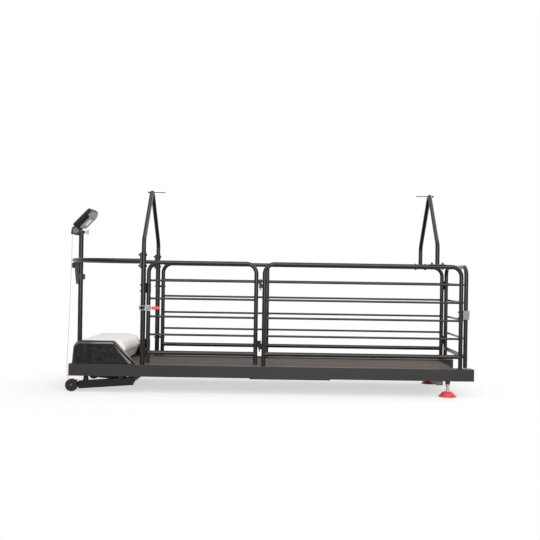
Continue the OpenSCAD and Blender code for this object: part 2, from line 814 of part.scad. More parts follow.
module fence_frame(x0, x1, foot, mids = []) {
  open_foot = foot - eps;
  difference() {
    union() {
      fence_tubes(x0, x1, foot, foot, tube_d);
      rod_x(x0, x1, 0, sill_z, tube_d);
      for (i = [1:bar_count]) rod_x(x0, x1, 0, sill_z + i*bar_step, bar_d);
      for (x = mids) rod_z(x, 0, foot, fence_top, tube_d);
      children(0);
    }
    fence_tubes(x0, x1, open_foot, open_foot, tube_d - 2*tube_wall);
    rod_x(x0, x1, 0, sill_z, tube_d - 2*tube_wall);
    for (x = mids) rod_z(x, 0, open_foot, fence_top, tube_d - 2*tube_wall);
    children(1);
  }
}

// A welded hinge knuckle with its arm to a leg
hinge_x = gate_rear_x + hinge_gap/2;
hinge_z = [rail_top + hinge_low, fence_top - hinge_high];

module knuckle(p, leg, z0, z1) {
  plate_t = 6;
  v = leg - p;
  translate([p.x, p.y, z0]) cylinder(d = knuckle_d, h = z1 - z0);
  translate([p.x, p.y, z0]) rotate(atan2(v.y, v.x)) translate([0, -plate_t/2, 0])
    cube([norm(v), plate_t, z1 - z0]);
}

module knuckle_bore(p, z0, z1) {
  translate([p.x, p.y, z0 - 1]) cylinder(d = hinge_pin_d + 2*fit, h = z1 - z0 + 2);
}

// Holes for the rear arch's bolts through a top tube
module saddle_holes() {
  for (s = [-1, 1])
    rod_z(rear_arch_x + s*saddle_bolt_dx, 0, fence_top - tube_d, fence_top + tube_d, bolt_d + 0.4);
}

// The fixed panel carries the lower knuckle of each hinge
module fence_near() {
  color("black") translate([0, -fence_y, 0]) fence_frame(panel_front_x, panel_rear_x, rail_top) {
    for (z = hinge_z) knuckle([hinge_x, 0], [panel_front_x, 0], z - knuckle_h - gap, z - gap);
    union() {
      for (z = hinge_z) knuckle_bore([hinge_x, 0], z - knuckle_h - gap, z);
      saddle_holes();
      for (s = [-1, 1]) rod_x(panel_rear_x - tube_d, panel_rear_x + tube_d, 0, catch_z + s*catch_bolt_dz,
                              small_bolt_d + 0.4);
    }
  }
}

// The long far panel, bolted to the far post, carries the rear gate's lower knuckles
rear_hinge = [panel_rear_x + rear_gap/2, fence_y + 22];

module fence_far() {
  color("black") translate([0, fence_y, 0])
    fence_frame(far_front_x, panel_rear_x, rail_top, [far_mid_x]) {
      union() {
        for (z = hinge_z) translate([0, -fence_y, 0])
          knuckle(rear_hinge, [panel_rear_x, fence_y], z - knuckle_h - gap, z - gap);
        for (z = far_bolt_z) rod_x(post_x + post_d/2 + 0.2, far_front_x, 0, z, 14);
      }
      union() {
        for (z = hinge_z) translate([0, -fence_y, 0]) knuckle_bore(rear_hinge, z - knuckle_h - gap, z);
        saddle_holes();
        for (z = far_bolt_z) rod_x(post_x, far_front_x + tube_d, 0, z, small_bolt_d + 0.4);
      }
    }
}

// The side gate carries the upper knuckles
module gate_near() {
  color("black") translate([0, -fence_y, 0]) fence_frame(gate_front_x, gate_rear_x, gate_foot) {
    for (z = hinge_z) knuckle([hinge_x, 0], [gate_rear_x, 0], z, z + knuckle_h);
    for (z = hinge_z) knuckle_bore([hinge_x, 0], z, z + knuckle_h);
  }
}

// The rear gate stands across the belt's end
module gate_rear() {
  color("black") difference() {
    union() {
      translate([rear_gate_x, 0, 0]) rotate([0, 0, 90]) fence_frame(-fence_y, fence_y, gate_foot) {
        union() {}
        union() {}
      }
      for (z = hinge_z) difference() {
        knuckle(rear_hinge, [rear_gate_x, fence_y], z, z + knuckle_h);
        translate([rear_gate_x, fence_y, z - 1]) cylinder(d = tube_d - tube_wall, h = knuckle_h + 2);
      }
    }
    for (z = hinge_z) knuckle_bore(rear_hinge, z, z + knuckle_h);
  }
}

// One pin for each pair of knuckles
module hinge_pins() {
  color("silver") for (p = [[hinge_x, -fence_y], rear_hinge]) for (z = hinge_z) {
    translate([p.x, p.y, z - knuckle_h - gap - pin_tail])
      cylinder(d = hinge_pin_d, h = 2*knuckle_h + gap + pin_tail + 1);
    translate([p.x, p.y, z + knuckle_h + gap]) cylinder(d = hinge_pin_d + 5, h = 3);
  }
}

// Toggle latch on the gate's front leg: base, lever with its grip, and the wire loop
latch_p1 = [gate_front_x - 3, latch_y];
latch_p2 = [gate_front_x + 9, latch_y];
latch_ear_h = 4.6;
cheek_t = 3;
loop_rod_dz = 11.5;
loop_pin_d = 4;
lever_pin_d = 5;

module latch_base() {
  clamp_r = tube_d/2 + 3;
  plate_y = -fence_y - tube_d/2;
  color("silver") difference() {
    union() {
      rod_z(gate_front_x, -fence_y, latch_z - 13, latch_z + 13, 2*clamp_r - 1);
      block([gate_front_x - 19, plate_y - 4.5, latch_z - 17],
            [gate_front_x + 13, plate_y - 0.5, latch_z + 17]);
      translate([0, 0, latch_z - latch_ear_h]) linear_extrude(2*latch_ear_h)
        link_2d(latch_p1, [latch_p1.x, plate_y - 4], 6);
    }
    rod_z(gate_front_x, -fence_y, latch_z - 20, latch_z + 20, tube_d + 0.1);
    translate([latch_p1.x, latch_p1.y, latch_z - 20]) cylinder(d = lever_pin_d + 2*fit, h = 40);
    block([gate_front_x - 40, plate_y + tube_d - 2, latch_z - 20],
          [gate_front_x + 40, plate_y + 2*tube_d, latch_z + 20]);
  }
}

module latch_lever() {
  color("silver") {
    difference() {
      union() {
        for (z0 = [latch_ear_h + gap, -latch_ear_h - gap - cheek_t]) {
          translate([0, 0, latch_z + z0]) linear_extrude(cheek_t) {
            link_2d(latch_p1, latch_p2, 5.5);
            link_2d(latch_p2, latch_p2 + [9, 0], 4);
          }
        }
        translate([0, 0, latch_z - latch_ear_h - gap - cheek_t])
          linear_extrude(2*(latch_ear_h + gap + cheek_t))
          translate(latch_p2 + [10, -3]) square([30, 6]);
      }
      translate([latch_p2.x, latch_p2.y, latch_z - 20]) cylinder(d = loop_pin_d + 2*fit, h = 40);
    }
    rod_z(latch_p1.x, latch_p1.y,
          latch_z - latch_ear_h - gap - cheek_t, latch_z + latch_ear_h + gap + cheek_t,
          lever_pin_d);
  }
}

module latch_grip() {
  tail_x = latch_p2.x + 14;
  color([0.9, 0.15, 0.15]) difference() {
    hull() {
      translate([tail_x + 4, latch_y, latch_z]) scale([0.7, 0.9, 1]) sphere(9.4, $fn = 24);
      translate([tail_x + 36, latch_y, latch_z]) scale([1, 0.8, 1]) sphere(10.5, $fn = 24);
    }
    block([tail_x - 20, latch_y - 3.2, latch_z - latch_ear_h - cheek_t - 0.5],
          [latch_p2.x + 40.3, latch_y + 3.2, latch_z + latch_ear_h + cheek_t + 0.5]);
    block([tail_x - 20, latch_y - 20, latch_z - 20], [tail_x, latch_y + 20, latch_z + 20]);
  }
}

module latch_loop() {
  end_x = keeper_x - 4 - 0.8 - loop_rod_d/2;
  corner = 6;
  z0 = latch_z - loop_rod_dz;
  z1 = latch_z + loop_rod_dz;
  color("silver") {
    rod_x(end_x + corner, latch_p2.x + 2.4, latch_y, z0, loop_rod_d);
    rod_x(end_x + corner, latch_p2.x + 2.4, latch_y, z1, loop_rod_d);
    rod_z(end_x, latch_y, z0 + corner, z1 - corner, loop_rod_d);
    bend_xz([end_x + corner, latch_y, z1 - corner], corner, loop_rod_d, 90, 180);
    bend_xz([end_x + corner, latch_y, z0 + corner], corner, loop_rod_d, 180, 270);
    rod_z(latch_p2.x, latch_y, z0, z1, loop_pin_d);
  }
}

// Angle plates on the near post that stop the side gate from swinging in
module stop_plates() {
  web_x = post_x + post_d/2;
  lip_y = -fence_y + tube_d/2 + gap;
  color("dimgray") for (z = stop_z) difference() {
    union() {
      block([web_x - 3, -fence_y - 11, z - stop_h/2], [web_x + stop_web, lip_y + 3, z + stop_h/2]);
      block([web_x - 3, lip_y, z - stop_h/2], [gate_front_x + 12, lip_y + 3, z + stop_h/2]);
    }
    rod_z(post_x, -fence_y, z - stop_h, z + stop_h, post_d + 0.1);
    for (s = [-1, 1]) rod_x(post_x, web_x + 10, -fence_y, z + s*stop_bolt_dz, small_bolt_d + 0.4);
  }
}

// Galvanised channel on the near panel that takes the rear gate's leg
catch_z = middle_z - 18;
catch_h = 54;
catch_bolt_dz = 17;
catch_t = 2;

module rear_catch() {
  web_x = panel_rear_x + tube_d/2 + 0.2;
  near_y = -fence_y - tube_d/2 - 1;
  far_y = -fence_y + tube_d/2 + 1;
  color("darkgray") difference() {
    union() {
      block([web_x, near_y - catch_t, catch_z - catch_h/2],
            [web_x + catch_t, far_y + catch_t, catch_z + catch_h/2]);
      block([web_x - 3, near_y - catch_t, catch_z - catch_h/2],
            [rear_gate_x + tube_d/2 + 7, near_y, catch_z + catch_h/2]);
      block([web_x, far_y, catch_z - catch_h/2], [rear_gate_x + 4, far_y + catch_t, catch_z + catch_h/2]);
    }
    rod_z(panel_rear_x, -fence_y, catch_z - catch_h, catch_z + catch_h, tube_d + 0.1);
    for (s = [-1, 1])
      rod_x(panel_rear_x, web_x + 10, -fence_y, catch_z + s*catch_bolt_dz, small_bolt_d + 0.4);
  }
}

// Arches: bent legs, straight slopes at 45 degrees and a bent top, butted end to end
root2 = sqrt(2);
apex_z = arch_top - arch_d/2 - apex_r;
knee_z = apex_z - (fence_y - knee_r + root2*(knee_r - apex_r));
slope_l = root2*(fence_y - knee_r) + knee_r - apex_r;
butt = 0.05;

module tube_ring() difference() {
  circle(d = arch_d);
  circle(d = arch_d - 2*arch_wall);
}

// One leg of an arch with its knee bend, in the XZ plane
module arch_leg(foot) {
  translate([fence_y, 0, foot]) linear_extrude(knee_z - foot) tube_ring();
  translate([fence_y - knee_r, 0, knee_z]) rotate([90, 0, 0])
    rotate_extrude(angle = 45) translate([knee_r, 0]) tube_ring();
}

// The straight slope over a leg's knee
module arch_slope() {
  translate([fence_y - knee_r, 0, knee_z]) rotate([0, -45, 0]) translate([knee_r, 0, butt])
    linear_extrude(slope_l - 2*butt) tube_ring();
}

// The bent top, drilled for its rod
module arch_apex() {
  difference() {
    translate([0, 0, apex_z]) rotate([90, 0, 0]) rotate([0, 0, 45])
      rotate_extrude(angle = 90) translate([apex_r, 0]) tube_ring();
    rod_y(0, -arch_d, arch_d, apex_z + apex_r, hook_d + 2*fit);
  }
}

// The front arch slides into the posts and is bolted through them
module arch_front() {
  color("black") translate([post_x, 0, 0]) rotate([0, 0, 90]) {
    for (s = [0, 1]) mirror([s, 0, 0]) {
      arch_slope();
      difference() {
        arch_leg(post_top - arch_depth);
        for (z = post_bolt_z) rod_y(fence_y, -arch_d, arch_d, z, bolt_d + 0.4);
      }
    }
    arch_apex();
  }
}

// The rear arch stands on saddle plates that are bolted through the top tubes
saddle_z = fence_top + tube_d/2 - 3;

module saddle() {
  difference() {
    block([fence_y - 17, -saddle_l/2, saddle_z], [fence_y + 17, saddle_l/2, saddle_z + saddle_t]);
    rod_y(fence_y, -saddle_l, saddle_l, fence_top, tube_d + 0.1);
    for (e = [-1, 1]) rod_z(fence_y, e*saddle_bolt_dx, saddle_z - 10, saddle_z + 20, bolt_d + 0.4);
  }
}

module arch_rear() {
  color("black") translate([rear_arch_x, 0, 0]) rotate([0, 0, 90]) {
    for (s = [0, 1]) mirror([s, 0, 0]) {
      arch_slope();
      arch_leg(saddle_z + saddle_t - 0.5);
      saddle();
    }
    arch_apex();
  }
}

// Tether rods through the arch tops, pointing to the middle of the pen
module leash_rod(x, dir) {
  z = apex_z + apex_r;
  stub = 13;
  tip = 7;
  color("black") translate([x, 0, z]) scale([1, 1, 1]) rotate([0, dir*90, 0]) {
    translate([0, 0, -arch_d/2 - stub]) cylinder(d = hook_d, h = arch_d + stub + hook_l);
    translate([0, 0, -arch_d/2 - stub]) cylinder(d = 11, h = stub - 1);
    translate([0, 0, arch_d/2 + hook_l]) sphere(d = tip);
  }
}

module leash_rods() {
  leash_rod(post_x, 1);
  leash_rod(rear_arch_x, -1);
}

// A bolt along X with a low round head at its +X end and a cap nut at its -X end
module cap_bolt_x(x0, x1, y, z, d, head_h) {
  head_d = 1.7*d;
  edge = 0.4*head_h;
  rod_x(x0 - d, x1 + edge, y, z, d);
  translate([x1, y, z]) rotate([0, 90, 0]) cylinder(d = head_d, h = edge);
  translate([x1 + edge, y, z]) rotate([0, 90, 0]) cylinder(d1 = head_d, d2 = 0.9*d, h = head_h - edge);
  translate([x0, y, z]) rotate([0, -90, 0]) cylinder(d = head_d, h = 0.8*d, $fn = 6);
  translate([x0 - 0.8*d, y, z]) rotate([0, -90, 0]) cylinder(d1 = 1.4*d, d2 = 0.7*d, h = 0.6*d);
}

// Through bolts of both arches
module arch_bolts() {
  plate_x = post_x - post_d/2 - loop_plate_t;
  color("black") {
    for (s = [-1, 1]) for (z = post_bolt_z)
      cap_bolt_x(plate_x - 0.1, post_x + post_d/2 + 0.1, s*fence_y, z, bolt_d, 0.7*bolt_d);
    for (s = [-1, 1]) for (e = [-1, 1])
      translate([rear_arch_x + e*saddle_bolt_dx, s*fence_y, 0]) rotate([0, 90, 0])
        cap_bolt_x(-saddle_z - saddle_t - 0.1, -fence_top + tube_d/2 + 0.1, 0, 0, bolt_d, 0.7*bolt_d);
  }
}

// Small bolts of the stop plates, the far panel and the rear catch
module small_bolts() {
  color("black") {
    for (z = stop_z) for (s = [-1, 1])
      cap_bolt_x(post_x - post_d/2 - 0.1, post_x + post_d/2 + stop_web + 0.1, -fence_y, z + s*stop_bolt_dz,
                 small_bolt_d, flat_head);
    for (z = far_bolt_z)
      cap_bolt_x(post_x - post_d/2 - 0.1, far_front_x + tube_d/2 + 0.1, fence_y, z, small_bolt_d,
                 0.7*small_bolt_d);
    for (s = [-1, 1])
      cap_bolt_x(panel_rear_x - tube_d/2 - 0.1, panel_rear_x + tube_d/2 + catch_t + 0.3, -fence_y,
                 catch_z + s*catch_bolt_dz, small_bolt_d, flat_head);
  }
}

// Handle loop from post to post, round the front of the mast
module handle_tubes(d, x_end) {
  translate([0, 0, loop_z]) {
    for (s = [0, 1]) mirror([0, s, 0]) {
      rod_x(loop_front_x + loop_r, x_end, fence_y, 0, d);
      translate([loop_front_x + loop_r, fence_y - loop_r, 0]) rotate([0, 0, 90])
        rotate_extrude(angle = 90) translate([loop_r, 0]) circle(d = d);
    }
    rod_y(loop_front_x, -fence_y + loop_r, fence_y - loop_r, 0, d);
  }
}

module handle_loop() {
  plate_x = post_x - post_d/2 - loop_plate_t;
  plate_low = min(post_bolt_z[0] - 15, loop_z - loop_d);
  plate_high = max(post_bolt_z[1] + 13, loop_z + loop_d);
  color("black") difference() {
    union() {
      handle_tubes(loop_d, plate_x + 2);
      for (s = [-1, 1])
        block([plate_x, s*fence_y - 14, plate_low], [post_x - post_d/2 + 5, s*fence_y + 14, plate_high]);
    }
    handle_tubes(loop_d - 3, plate_x - 4);
    for (s = [-1, 1]) {
      rod_z(post_x, s*fence_y, rail_top, arch_top, post_d + 0.1);
      for (z = post_bolt_z) rod_x(plate_x - eps, post_x, s*fence_y, z, bolt_d + 0.4);
    }
  }
}

// Mast on the front beam
module mast() {
  foot_w = 56;
  foot_z = rail_z + 6;
  color("black") difference() {
    union() {
      rod_z(mast_x, 0, foot_z, mast_top, mast_d);
      block([rail_front_x - 6, -foot_w/2, foot_z], [rail_front_x, foot_w/2, rail_top - 4]);
    }
    rod_z(mast_x, 0, foot_z - eps, mast_top + eps, mast_d - 2*mast_wall);
  }
}

// Moulded bracket on the mast's front: the loop's seat, the knob's boss and the collar with its lug
bracket_top = loop_z - 4;
collar_z0 = bracket_top - bracket_h + 30;
collar_h = 35;
knob_z = loop_z - loop_d/2 - knob_d/2 - 0.8;

module mast_bracket() {
  front_x = mast_x - mast_d/2;
  low = bracket_top - bracket_h;
  color([0.1, 0.1, 0.1]) difference() {
    union() {
      plate_xz(-17, 17) polygon(concat(
        [[front_x + 8, bracket_top], [front_x - bracket_t, bracket_top],
         [front_x - bracket_t, bracket_top - 60]],
        arc([front_x - 3, low + 8], 8, 180, 270, 5),
        [[front_x + 8, low]]));
      rod_z(mast_x, 0, collar_z0, collar_z0 + collar_h, mast_d + 8);
      block([mast_x, -8, collar_z0], [mast_x + mast_d/2 + 12, 8, collar_z0 + collar_h]);
    }
    rod_z(mast_x, 0, low - eps, bracket_top + eps, mast_d + 0.1);
    rod_y(loop_front_x, -30, 30, loop_z, loop_d + 0.1);
    rod_x(front_x - bracket_t - eps, front_x - 2, 0, knob_z, 8 + 2*fit);
  }
}

// Clamp knob with a scalloped rim and its screw
module clamp_knob() {
  front_x = mast_x - mast_d/2;
  lobes = 6;
  back_x = front_x - bracket_t - 0.5;
  color([0.08, 0.08, 0.08]) {
    difference() {
      translate([back_x, 0, knob_z]) rotate([0, -90, 0]) rotate_extrude()
        polygon(concat([[0, 0], [knob_d/2 - 4, 0], [knob_d/2, 5]],
          arc([knob_d/2 - 6, knob_t - 6], 6, 0, 90, 4), [[0, knob_t]]));
      for (i = [0:lobes - 1]) rotate_about([back_x, 0, knob_z], i*360/lobes)
        rod_x(back_x - knob_t - 1, back_x + 1, knob_d/2 + 4, 0, 12);
    }
    rod_x(back_x - 4, front_x - 3, 0, knob_z, 8);
  }
}

module rotate_about(c, a) translate([0, c.y, c.z]) rotate([a, 0, 0]) children();

// Console on the mast: a fixed round neck, and a tilting head of back cover, bezel and screen
neck_set = 27;
neck_x = mast_x - neck_set;
neck_z = mast_top + 22;
trunnion_r = 8;
ear_r = 22;
ear_w = 6;
head_low = 20;
head_n = 10;
neck_clear = 0.8;
key_u = head_low + 20;
key_y = [-78, -26, 26, 78];
screen_u0 = head_low + 46;
screen_u1 = head_low + console_l - 14;
screen_w = console_w - 44;

// The head's own frame: x runs up its slope, z out of the display
module head() translate([neck_x, 0, neck_z]) rotate([0, -console_tilt, 0]) children();

module rounded_plate(x0, x1, w, r) {
  translate([x0 + r, -w/2 + r]) square([x1 - x0 - 2*r, w - 2*r]);
  for (x = [x0 + r, x1 - r]) for (y = [-w/2 + r, w/2 - r]) translate([x, y]) circle(r);
  translate([x0, -w/2 + r]) square([x1 - x0, w - 2*r]);
  translate([x0 + r, -w/2]) square([x1 - x0 - 2*r, w]);
}

module console_neck() {
  key_bore = 15;
  color([0.1, 0.1, 0.1]) difference() {
    union() {
      rod_y(neck_x, -neck_w/2, neck_w/2, neck_z, 2*neck_r);
      rod_y(neck_x, -neck_w/2 - ear_w, neck_w/2 + ear_w, neck_z, 2*trunnion_r);
      rod_z(mast_x, 0, mast_top - 40, neck_z, mast_d - 2*mast_wall - 0.1);
      rod_z(mast_x, 0, mast_top, neck_z, mast_d + 4);
      rod_x(mast_x, mast_x + mast_d/2 + 6, 0, mast_top + 12, 18);
    }
    difference() {
      rod_z(mast_x, 0, mast_top - 60, mast_top, mast_d + 0.1);
      rod_z(mast_x, 0, mast_top - 61, mast_top + 1, mast_d - 2*mast_wall - 0.1);
    }
    rod_x(neck_x - neck_r - 5, key_x + 18, 0, key_z, key_bore + 2*fit);
    rod_x(mast_x, mast_x + mast_d/2 + 8, 0, mast_top + 12, 6 + 2*fit);
  }
}

// White wing knob that locks the tilt
module tilt_knob() {
  x0 = mast_x + mast_d/2 + 6.4;
  z = mast_top + 12;
  color("white") {
    rod_x(x0, x0 + 7, 0, z, 15);
    rod_x(mast_x + 2, x0 + 1, 0, z, 6);
    translate([x0 + 6, 4, z]) rotate([90, 0, 0]) linear_extrude(8)
      polygon([[0, -8], [15, -17], [20, -15], [20, 15], [15, 17], [0, 8]]);
  }
}

// Front moulding with the screen recess and the key pockets
module console_bezel() {
  color([0.08, 0.08, 0.08]) head() difference() {
    translate([0, 0, head_n]) linear_extrude(bezel_t)
      rounded_plate(head_low, head_low + console_l, console_w, 22);
    translate([0, 0, head_n + bezel_t - 5]) linear_extrude(10)
      rounded_plate(screen_u0, screen_u1, screen_w, 8);
    for (y = key_y) translate([0, y, head_n + bezel_t - 8]) linear_extrude(12)
      translate([key_u - key_w/2 - gap, -key_l/2 - gap]) square([key_w + 2*gap, key_l + 2*gap]);
    neck_space();
  }
}

// Room for the neck in the head
module neck_space() rotate([90, 0, 0]) cylinder(r = neck_r + neck_clear, h = neck_w + 2*gap, center = true);

module console_screen() {
  color([0.15, 0.18, 0.2]) head() translate([0, 0, head_n + bezel_t - 5])
    linear_extrude(4) rounded_plate(screen_u0 + gap, screen_u1 - gap, screen_w - 2*gap, 8);
}

// Four keys in a row under the screen, each standing a little proud of its pocket
module console_key(i) {
  color([0.3, 0.3, 0.32]) head() translate([0, key_y[i], head_n + bezel_t - 8 + key_travel + gap])
    linear_extrude(8 - gap) translate([key_u - key_w/2, -key_l/2]) square([key_w, key_l]);
}

module key_start() console_key(0);
module key_stop() console_key(1);
module key_faster() console_key(2);
module key_slower() console_key(3);

// Tapered back cover with the two ears that turn on the neck
module console_back() {
  color([0.62, 0.6, 0.6]) head() difference() {
    union() {
      hull() {
        translate([0, 0, head_n - 1]) linear_extrude(1)
          rounded_plate(head_low, head_low + console_l, console_w, 22, $fn = 32);
        translate([0, 0, head_n - 12]) linear_extrude(1)
          rounded_plate(head_low + 3, head_low + console_l - 4, console_w - 10, 22, $fn = 32);
        translate([0, 0, head_n - back_t]) linear_extrude(1)
          rounded_plate(head_low + 16, head_low + console_l - 26, console_w - 56, 22, $fn = 32);
      }
      for (s = [-1, 1]) {
        y0 = s > 0 ? neck_w/2 + gap : -neck_w/2 - gap - ear_w;
        translate([0, y0 + ear_w, 0]) rotate([90, 0, 0]) linear_extrude(ear_w) {
          circle(ear_r);
          polygon([[-4, ear_r - 1], [ear_r - 1, -4], [head_low + 50, head_n - back_t + 3],
                   [head_low + 12, head_n - 3]]);
        }
      }
    }
    neck_space();
    translate([head_low - gap, -console_w, head_n]) cube([console_l, 2*console_w, 2*bezel_t]);
    rotate([90, 0, 0]) cylinder(r = trunnion_r + fit, h = neck_w + 60, center = true);
  }
}

// Safety key in the neck's front, its cord down to the floor and the clip on the cord's end
key_drop = 14;
key_x = neck_x - neck_r;
key_z = neck_z - key_drop;
cord_d = 2.5;
cord_sides = 8;
cord_route = [
  [-1236, 0, 946], [-1236, 0, 940], [-1236, 0, 930], [-1236, 0, 900], [-1237, 0, 850], [-1238, 0, 780],
  [-1240, 0, 700], [-1242, 0, 610], [-1244, 0, 520], [-1247, 0, 430], [-1250, 0, 340], [-1253, 0, 260],
  [-1256, 0, 190], [-1258, 1, 140], [-1259, 4, 100], [-1258, 12, 65], [-1256, 26, 38], [-1253, 46, 18],
  [-1249, 72, 7], [-1245, 100, 3], [-1241, 128, 2], [-1238, 154, 2], [-1236, 172, 2]
];
cord_steps = 3;

module safety_key() {
  color([0.8, 0.1, 0.1]) {
    rod_x(key_x - 3, key_x + 14, 0, key_z, 15);
    rod_x(key_x - 6, key_x - 2, 0, key_z, 21);
    rod_z(cord_points[0].x, 0, cord_points[0].z + 0.2, key_z, 5);
  }
}

function spline(p0, p1, p2, p3, t) = 0.5*(2*p1 + (p2 - p0)*t + (2*p0 - 5*p1 + 4*p2 - p3)*t*t
  + (3*p1 - p0 - 3*p2 + p3)*t*t*t);
last_point = len(cord_route) - 1;
cord_points = concat([for (i = [0:last_point - 1]) for (k = [0:cord_steps - 1])
  spline(cord_route[max(i - 1, 0)], cord_route[i], cord_route[i + 1], cord_route[min(i + 2, last_point)],
         k/cord_steps)], [cord_route[last_point]]);

// A tube swept along points, with its rings square to the path
module swept_tube(path, d, sides) {
  n = len(path);
  along = [for (i = [0:n - 1]) let (v = path[min(i + 1, n - 1)] - path[max(i - 1, 0)]) v/norm(v)];
  across = [for (v = along) let (c = cross([1, 0, 0], v)) c/norm(c)];
  rings = [for (i = [0:n - 1]) for (k = [0:sides - 1])
    path[i] + d/2*(cos(k*360/sides)*across[i] + sin(k*360/sides)*cross(along[i], across[i]))];
  sides_faces = [for (i = [0:n - 2]) for (k = [0:sides - 1]) for (f = [0, 1])
    let (a = i*sides + k, b = i*sides + (k + 1) % sides)
      f == 0 ? [a, a + sides, b] : [b, a + sides, b + sides]];
  polyhedron(points = rings, faces = concat([[for (k = [0:sides - 1]) k]],
    sides_faces, [[for (k = [0:sides - 1]) n*sides - 1 - k]]));
}

module safety_cord() color([0.85, 0.45, 0.45]) swept_tube(cord_points, cord_d, cord_sides);

module safety_clip() {
  end = cord_route[last_point];
  color([0.85, 0.1, 0.12]) translate(end) {
    translate([0, 0.3, 0]) rotate([-90, 0, 0]) cylinder(d = 3.6, h = 8);
    translate([-5, 7, -1.7]) cube([10, 26, 7]);
    translate([-6, 14, -1.7]) cube([12, 22, 3]);
  }
}

rail_near();
rail_far();
rail_end_caps();
cross_members();
front_beam();
deck();
running_belt();
roller_front();
roller_rear();
motor();
motor_pulley();
drive_belt();
control_board();
power_inlet();
hood_side_near();
hood_side_far();
hood_cover();
lift_frame();
wheel_near();
wheel_far();
actuator_body();
actuator_rod();
foot_pad_near();
foot_pad_far();
foot_spindle_near();
foot_spindle_far();
post_near();
post_far();
fence_near();
fence_far();
gate_near();
gate_rear();
hinge_pins();
latch_base();
latch_lever();
latch_grip();
latch_loop();
stop_plates();
rear_catch();
arch_front();
arch_rear();
leash_rods();
arch_bolts();
small_bolts();
handle_loop();
mast();
mast_bracket();
clamp_knob();
console_neck();
tilt_knob();
console_bezel();
console_back();
console_screen();
key_start();
key_stop();
key_faster();
key_slower();
safety_key();
safety_cord();
safety_clip();
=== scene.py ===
"""Looks of a dog treadmill: a belt deck between box rails, inside a tube pen with two gates."""
import math

import bmesh
import bpy
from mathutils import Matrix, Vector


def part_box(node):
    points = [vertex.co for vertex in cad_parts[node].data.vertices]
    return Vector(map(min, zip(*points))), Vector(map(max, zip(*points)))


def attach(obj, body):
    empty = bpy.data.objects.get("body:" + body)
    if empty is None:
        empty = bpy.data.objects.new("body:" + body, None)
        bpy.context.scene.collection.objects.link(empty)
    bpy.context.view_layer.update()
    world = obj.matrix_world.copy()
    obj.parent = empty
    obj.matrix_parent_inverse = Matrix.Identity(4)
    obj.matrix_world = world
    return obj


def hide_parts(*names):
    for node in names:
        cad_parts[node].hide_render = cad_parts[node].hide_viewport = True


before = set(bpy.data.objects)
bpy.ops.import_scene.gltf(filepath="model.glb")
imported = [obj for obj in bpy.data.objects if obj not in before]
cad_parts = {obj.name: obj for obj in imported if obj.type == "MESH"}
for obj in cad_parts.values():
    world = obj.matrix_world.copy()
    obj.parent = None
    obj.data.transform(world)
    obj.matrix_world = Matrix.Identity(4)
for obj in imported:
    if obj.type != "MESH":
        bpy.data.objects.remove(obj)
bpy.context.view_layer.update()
bpy.ops.object.select_all(action="DESELECT")


# Rails, cross-members and front beam
# Welded box section, powder coated in one dark grey. The coat has a fine orange peel. Its upper faces are
# paler in patches, partly dust and partly a painted highlight, and its long top edges are paler still, partly
# rubbed where it is stepped on and gripped and partly a painted highlight.
rail_top = 0.165
rail_in_y = 0.302
rail_out_y = 0.362


class Value:
    """An output of a shader node, for use in Python sums."""

    def __init__(self, finish, socket):
        self.finish = finish
        self.socket = socket

    def __add__(self, other):
        return self.finish.sum("ADD", self, other)

    def __radd__(self, other):
        return self.finish.sum("ADD", other, self)

    def __sub__(self, other):
        return self.finish.sum("SUBTRACT", self, other)

    def __rsub__(self, other):
        return self.finish.sum("SUBTRACT", other, self)

    def __mul__(self, other):
        return self.finish.sum("MULTIPLY", self, other)

    def __rmul__(self, other):
        return self.finish.sum("MULTIPLY", other, self)

    def __abs__(self):
        return self.finish.sum("ABSOLUTE", self, 0.0)


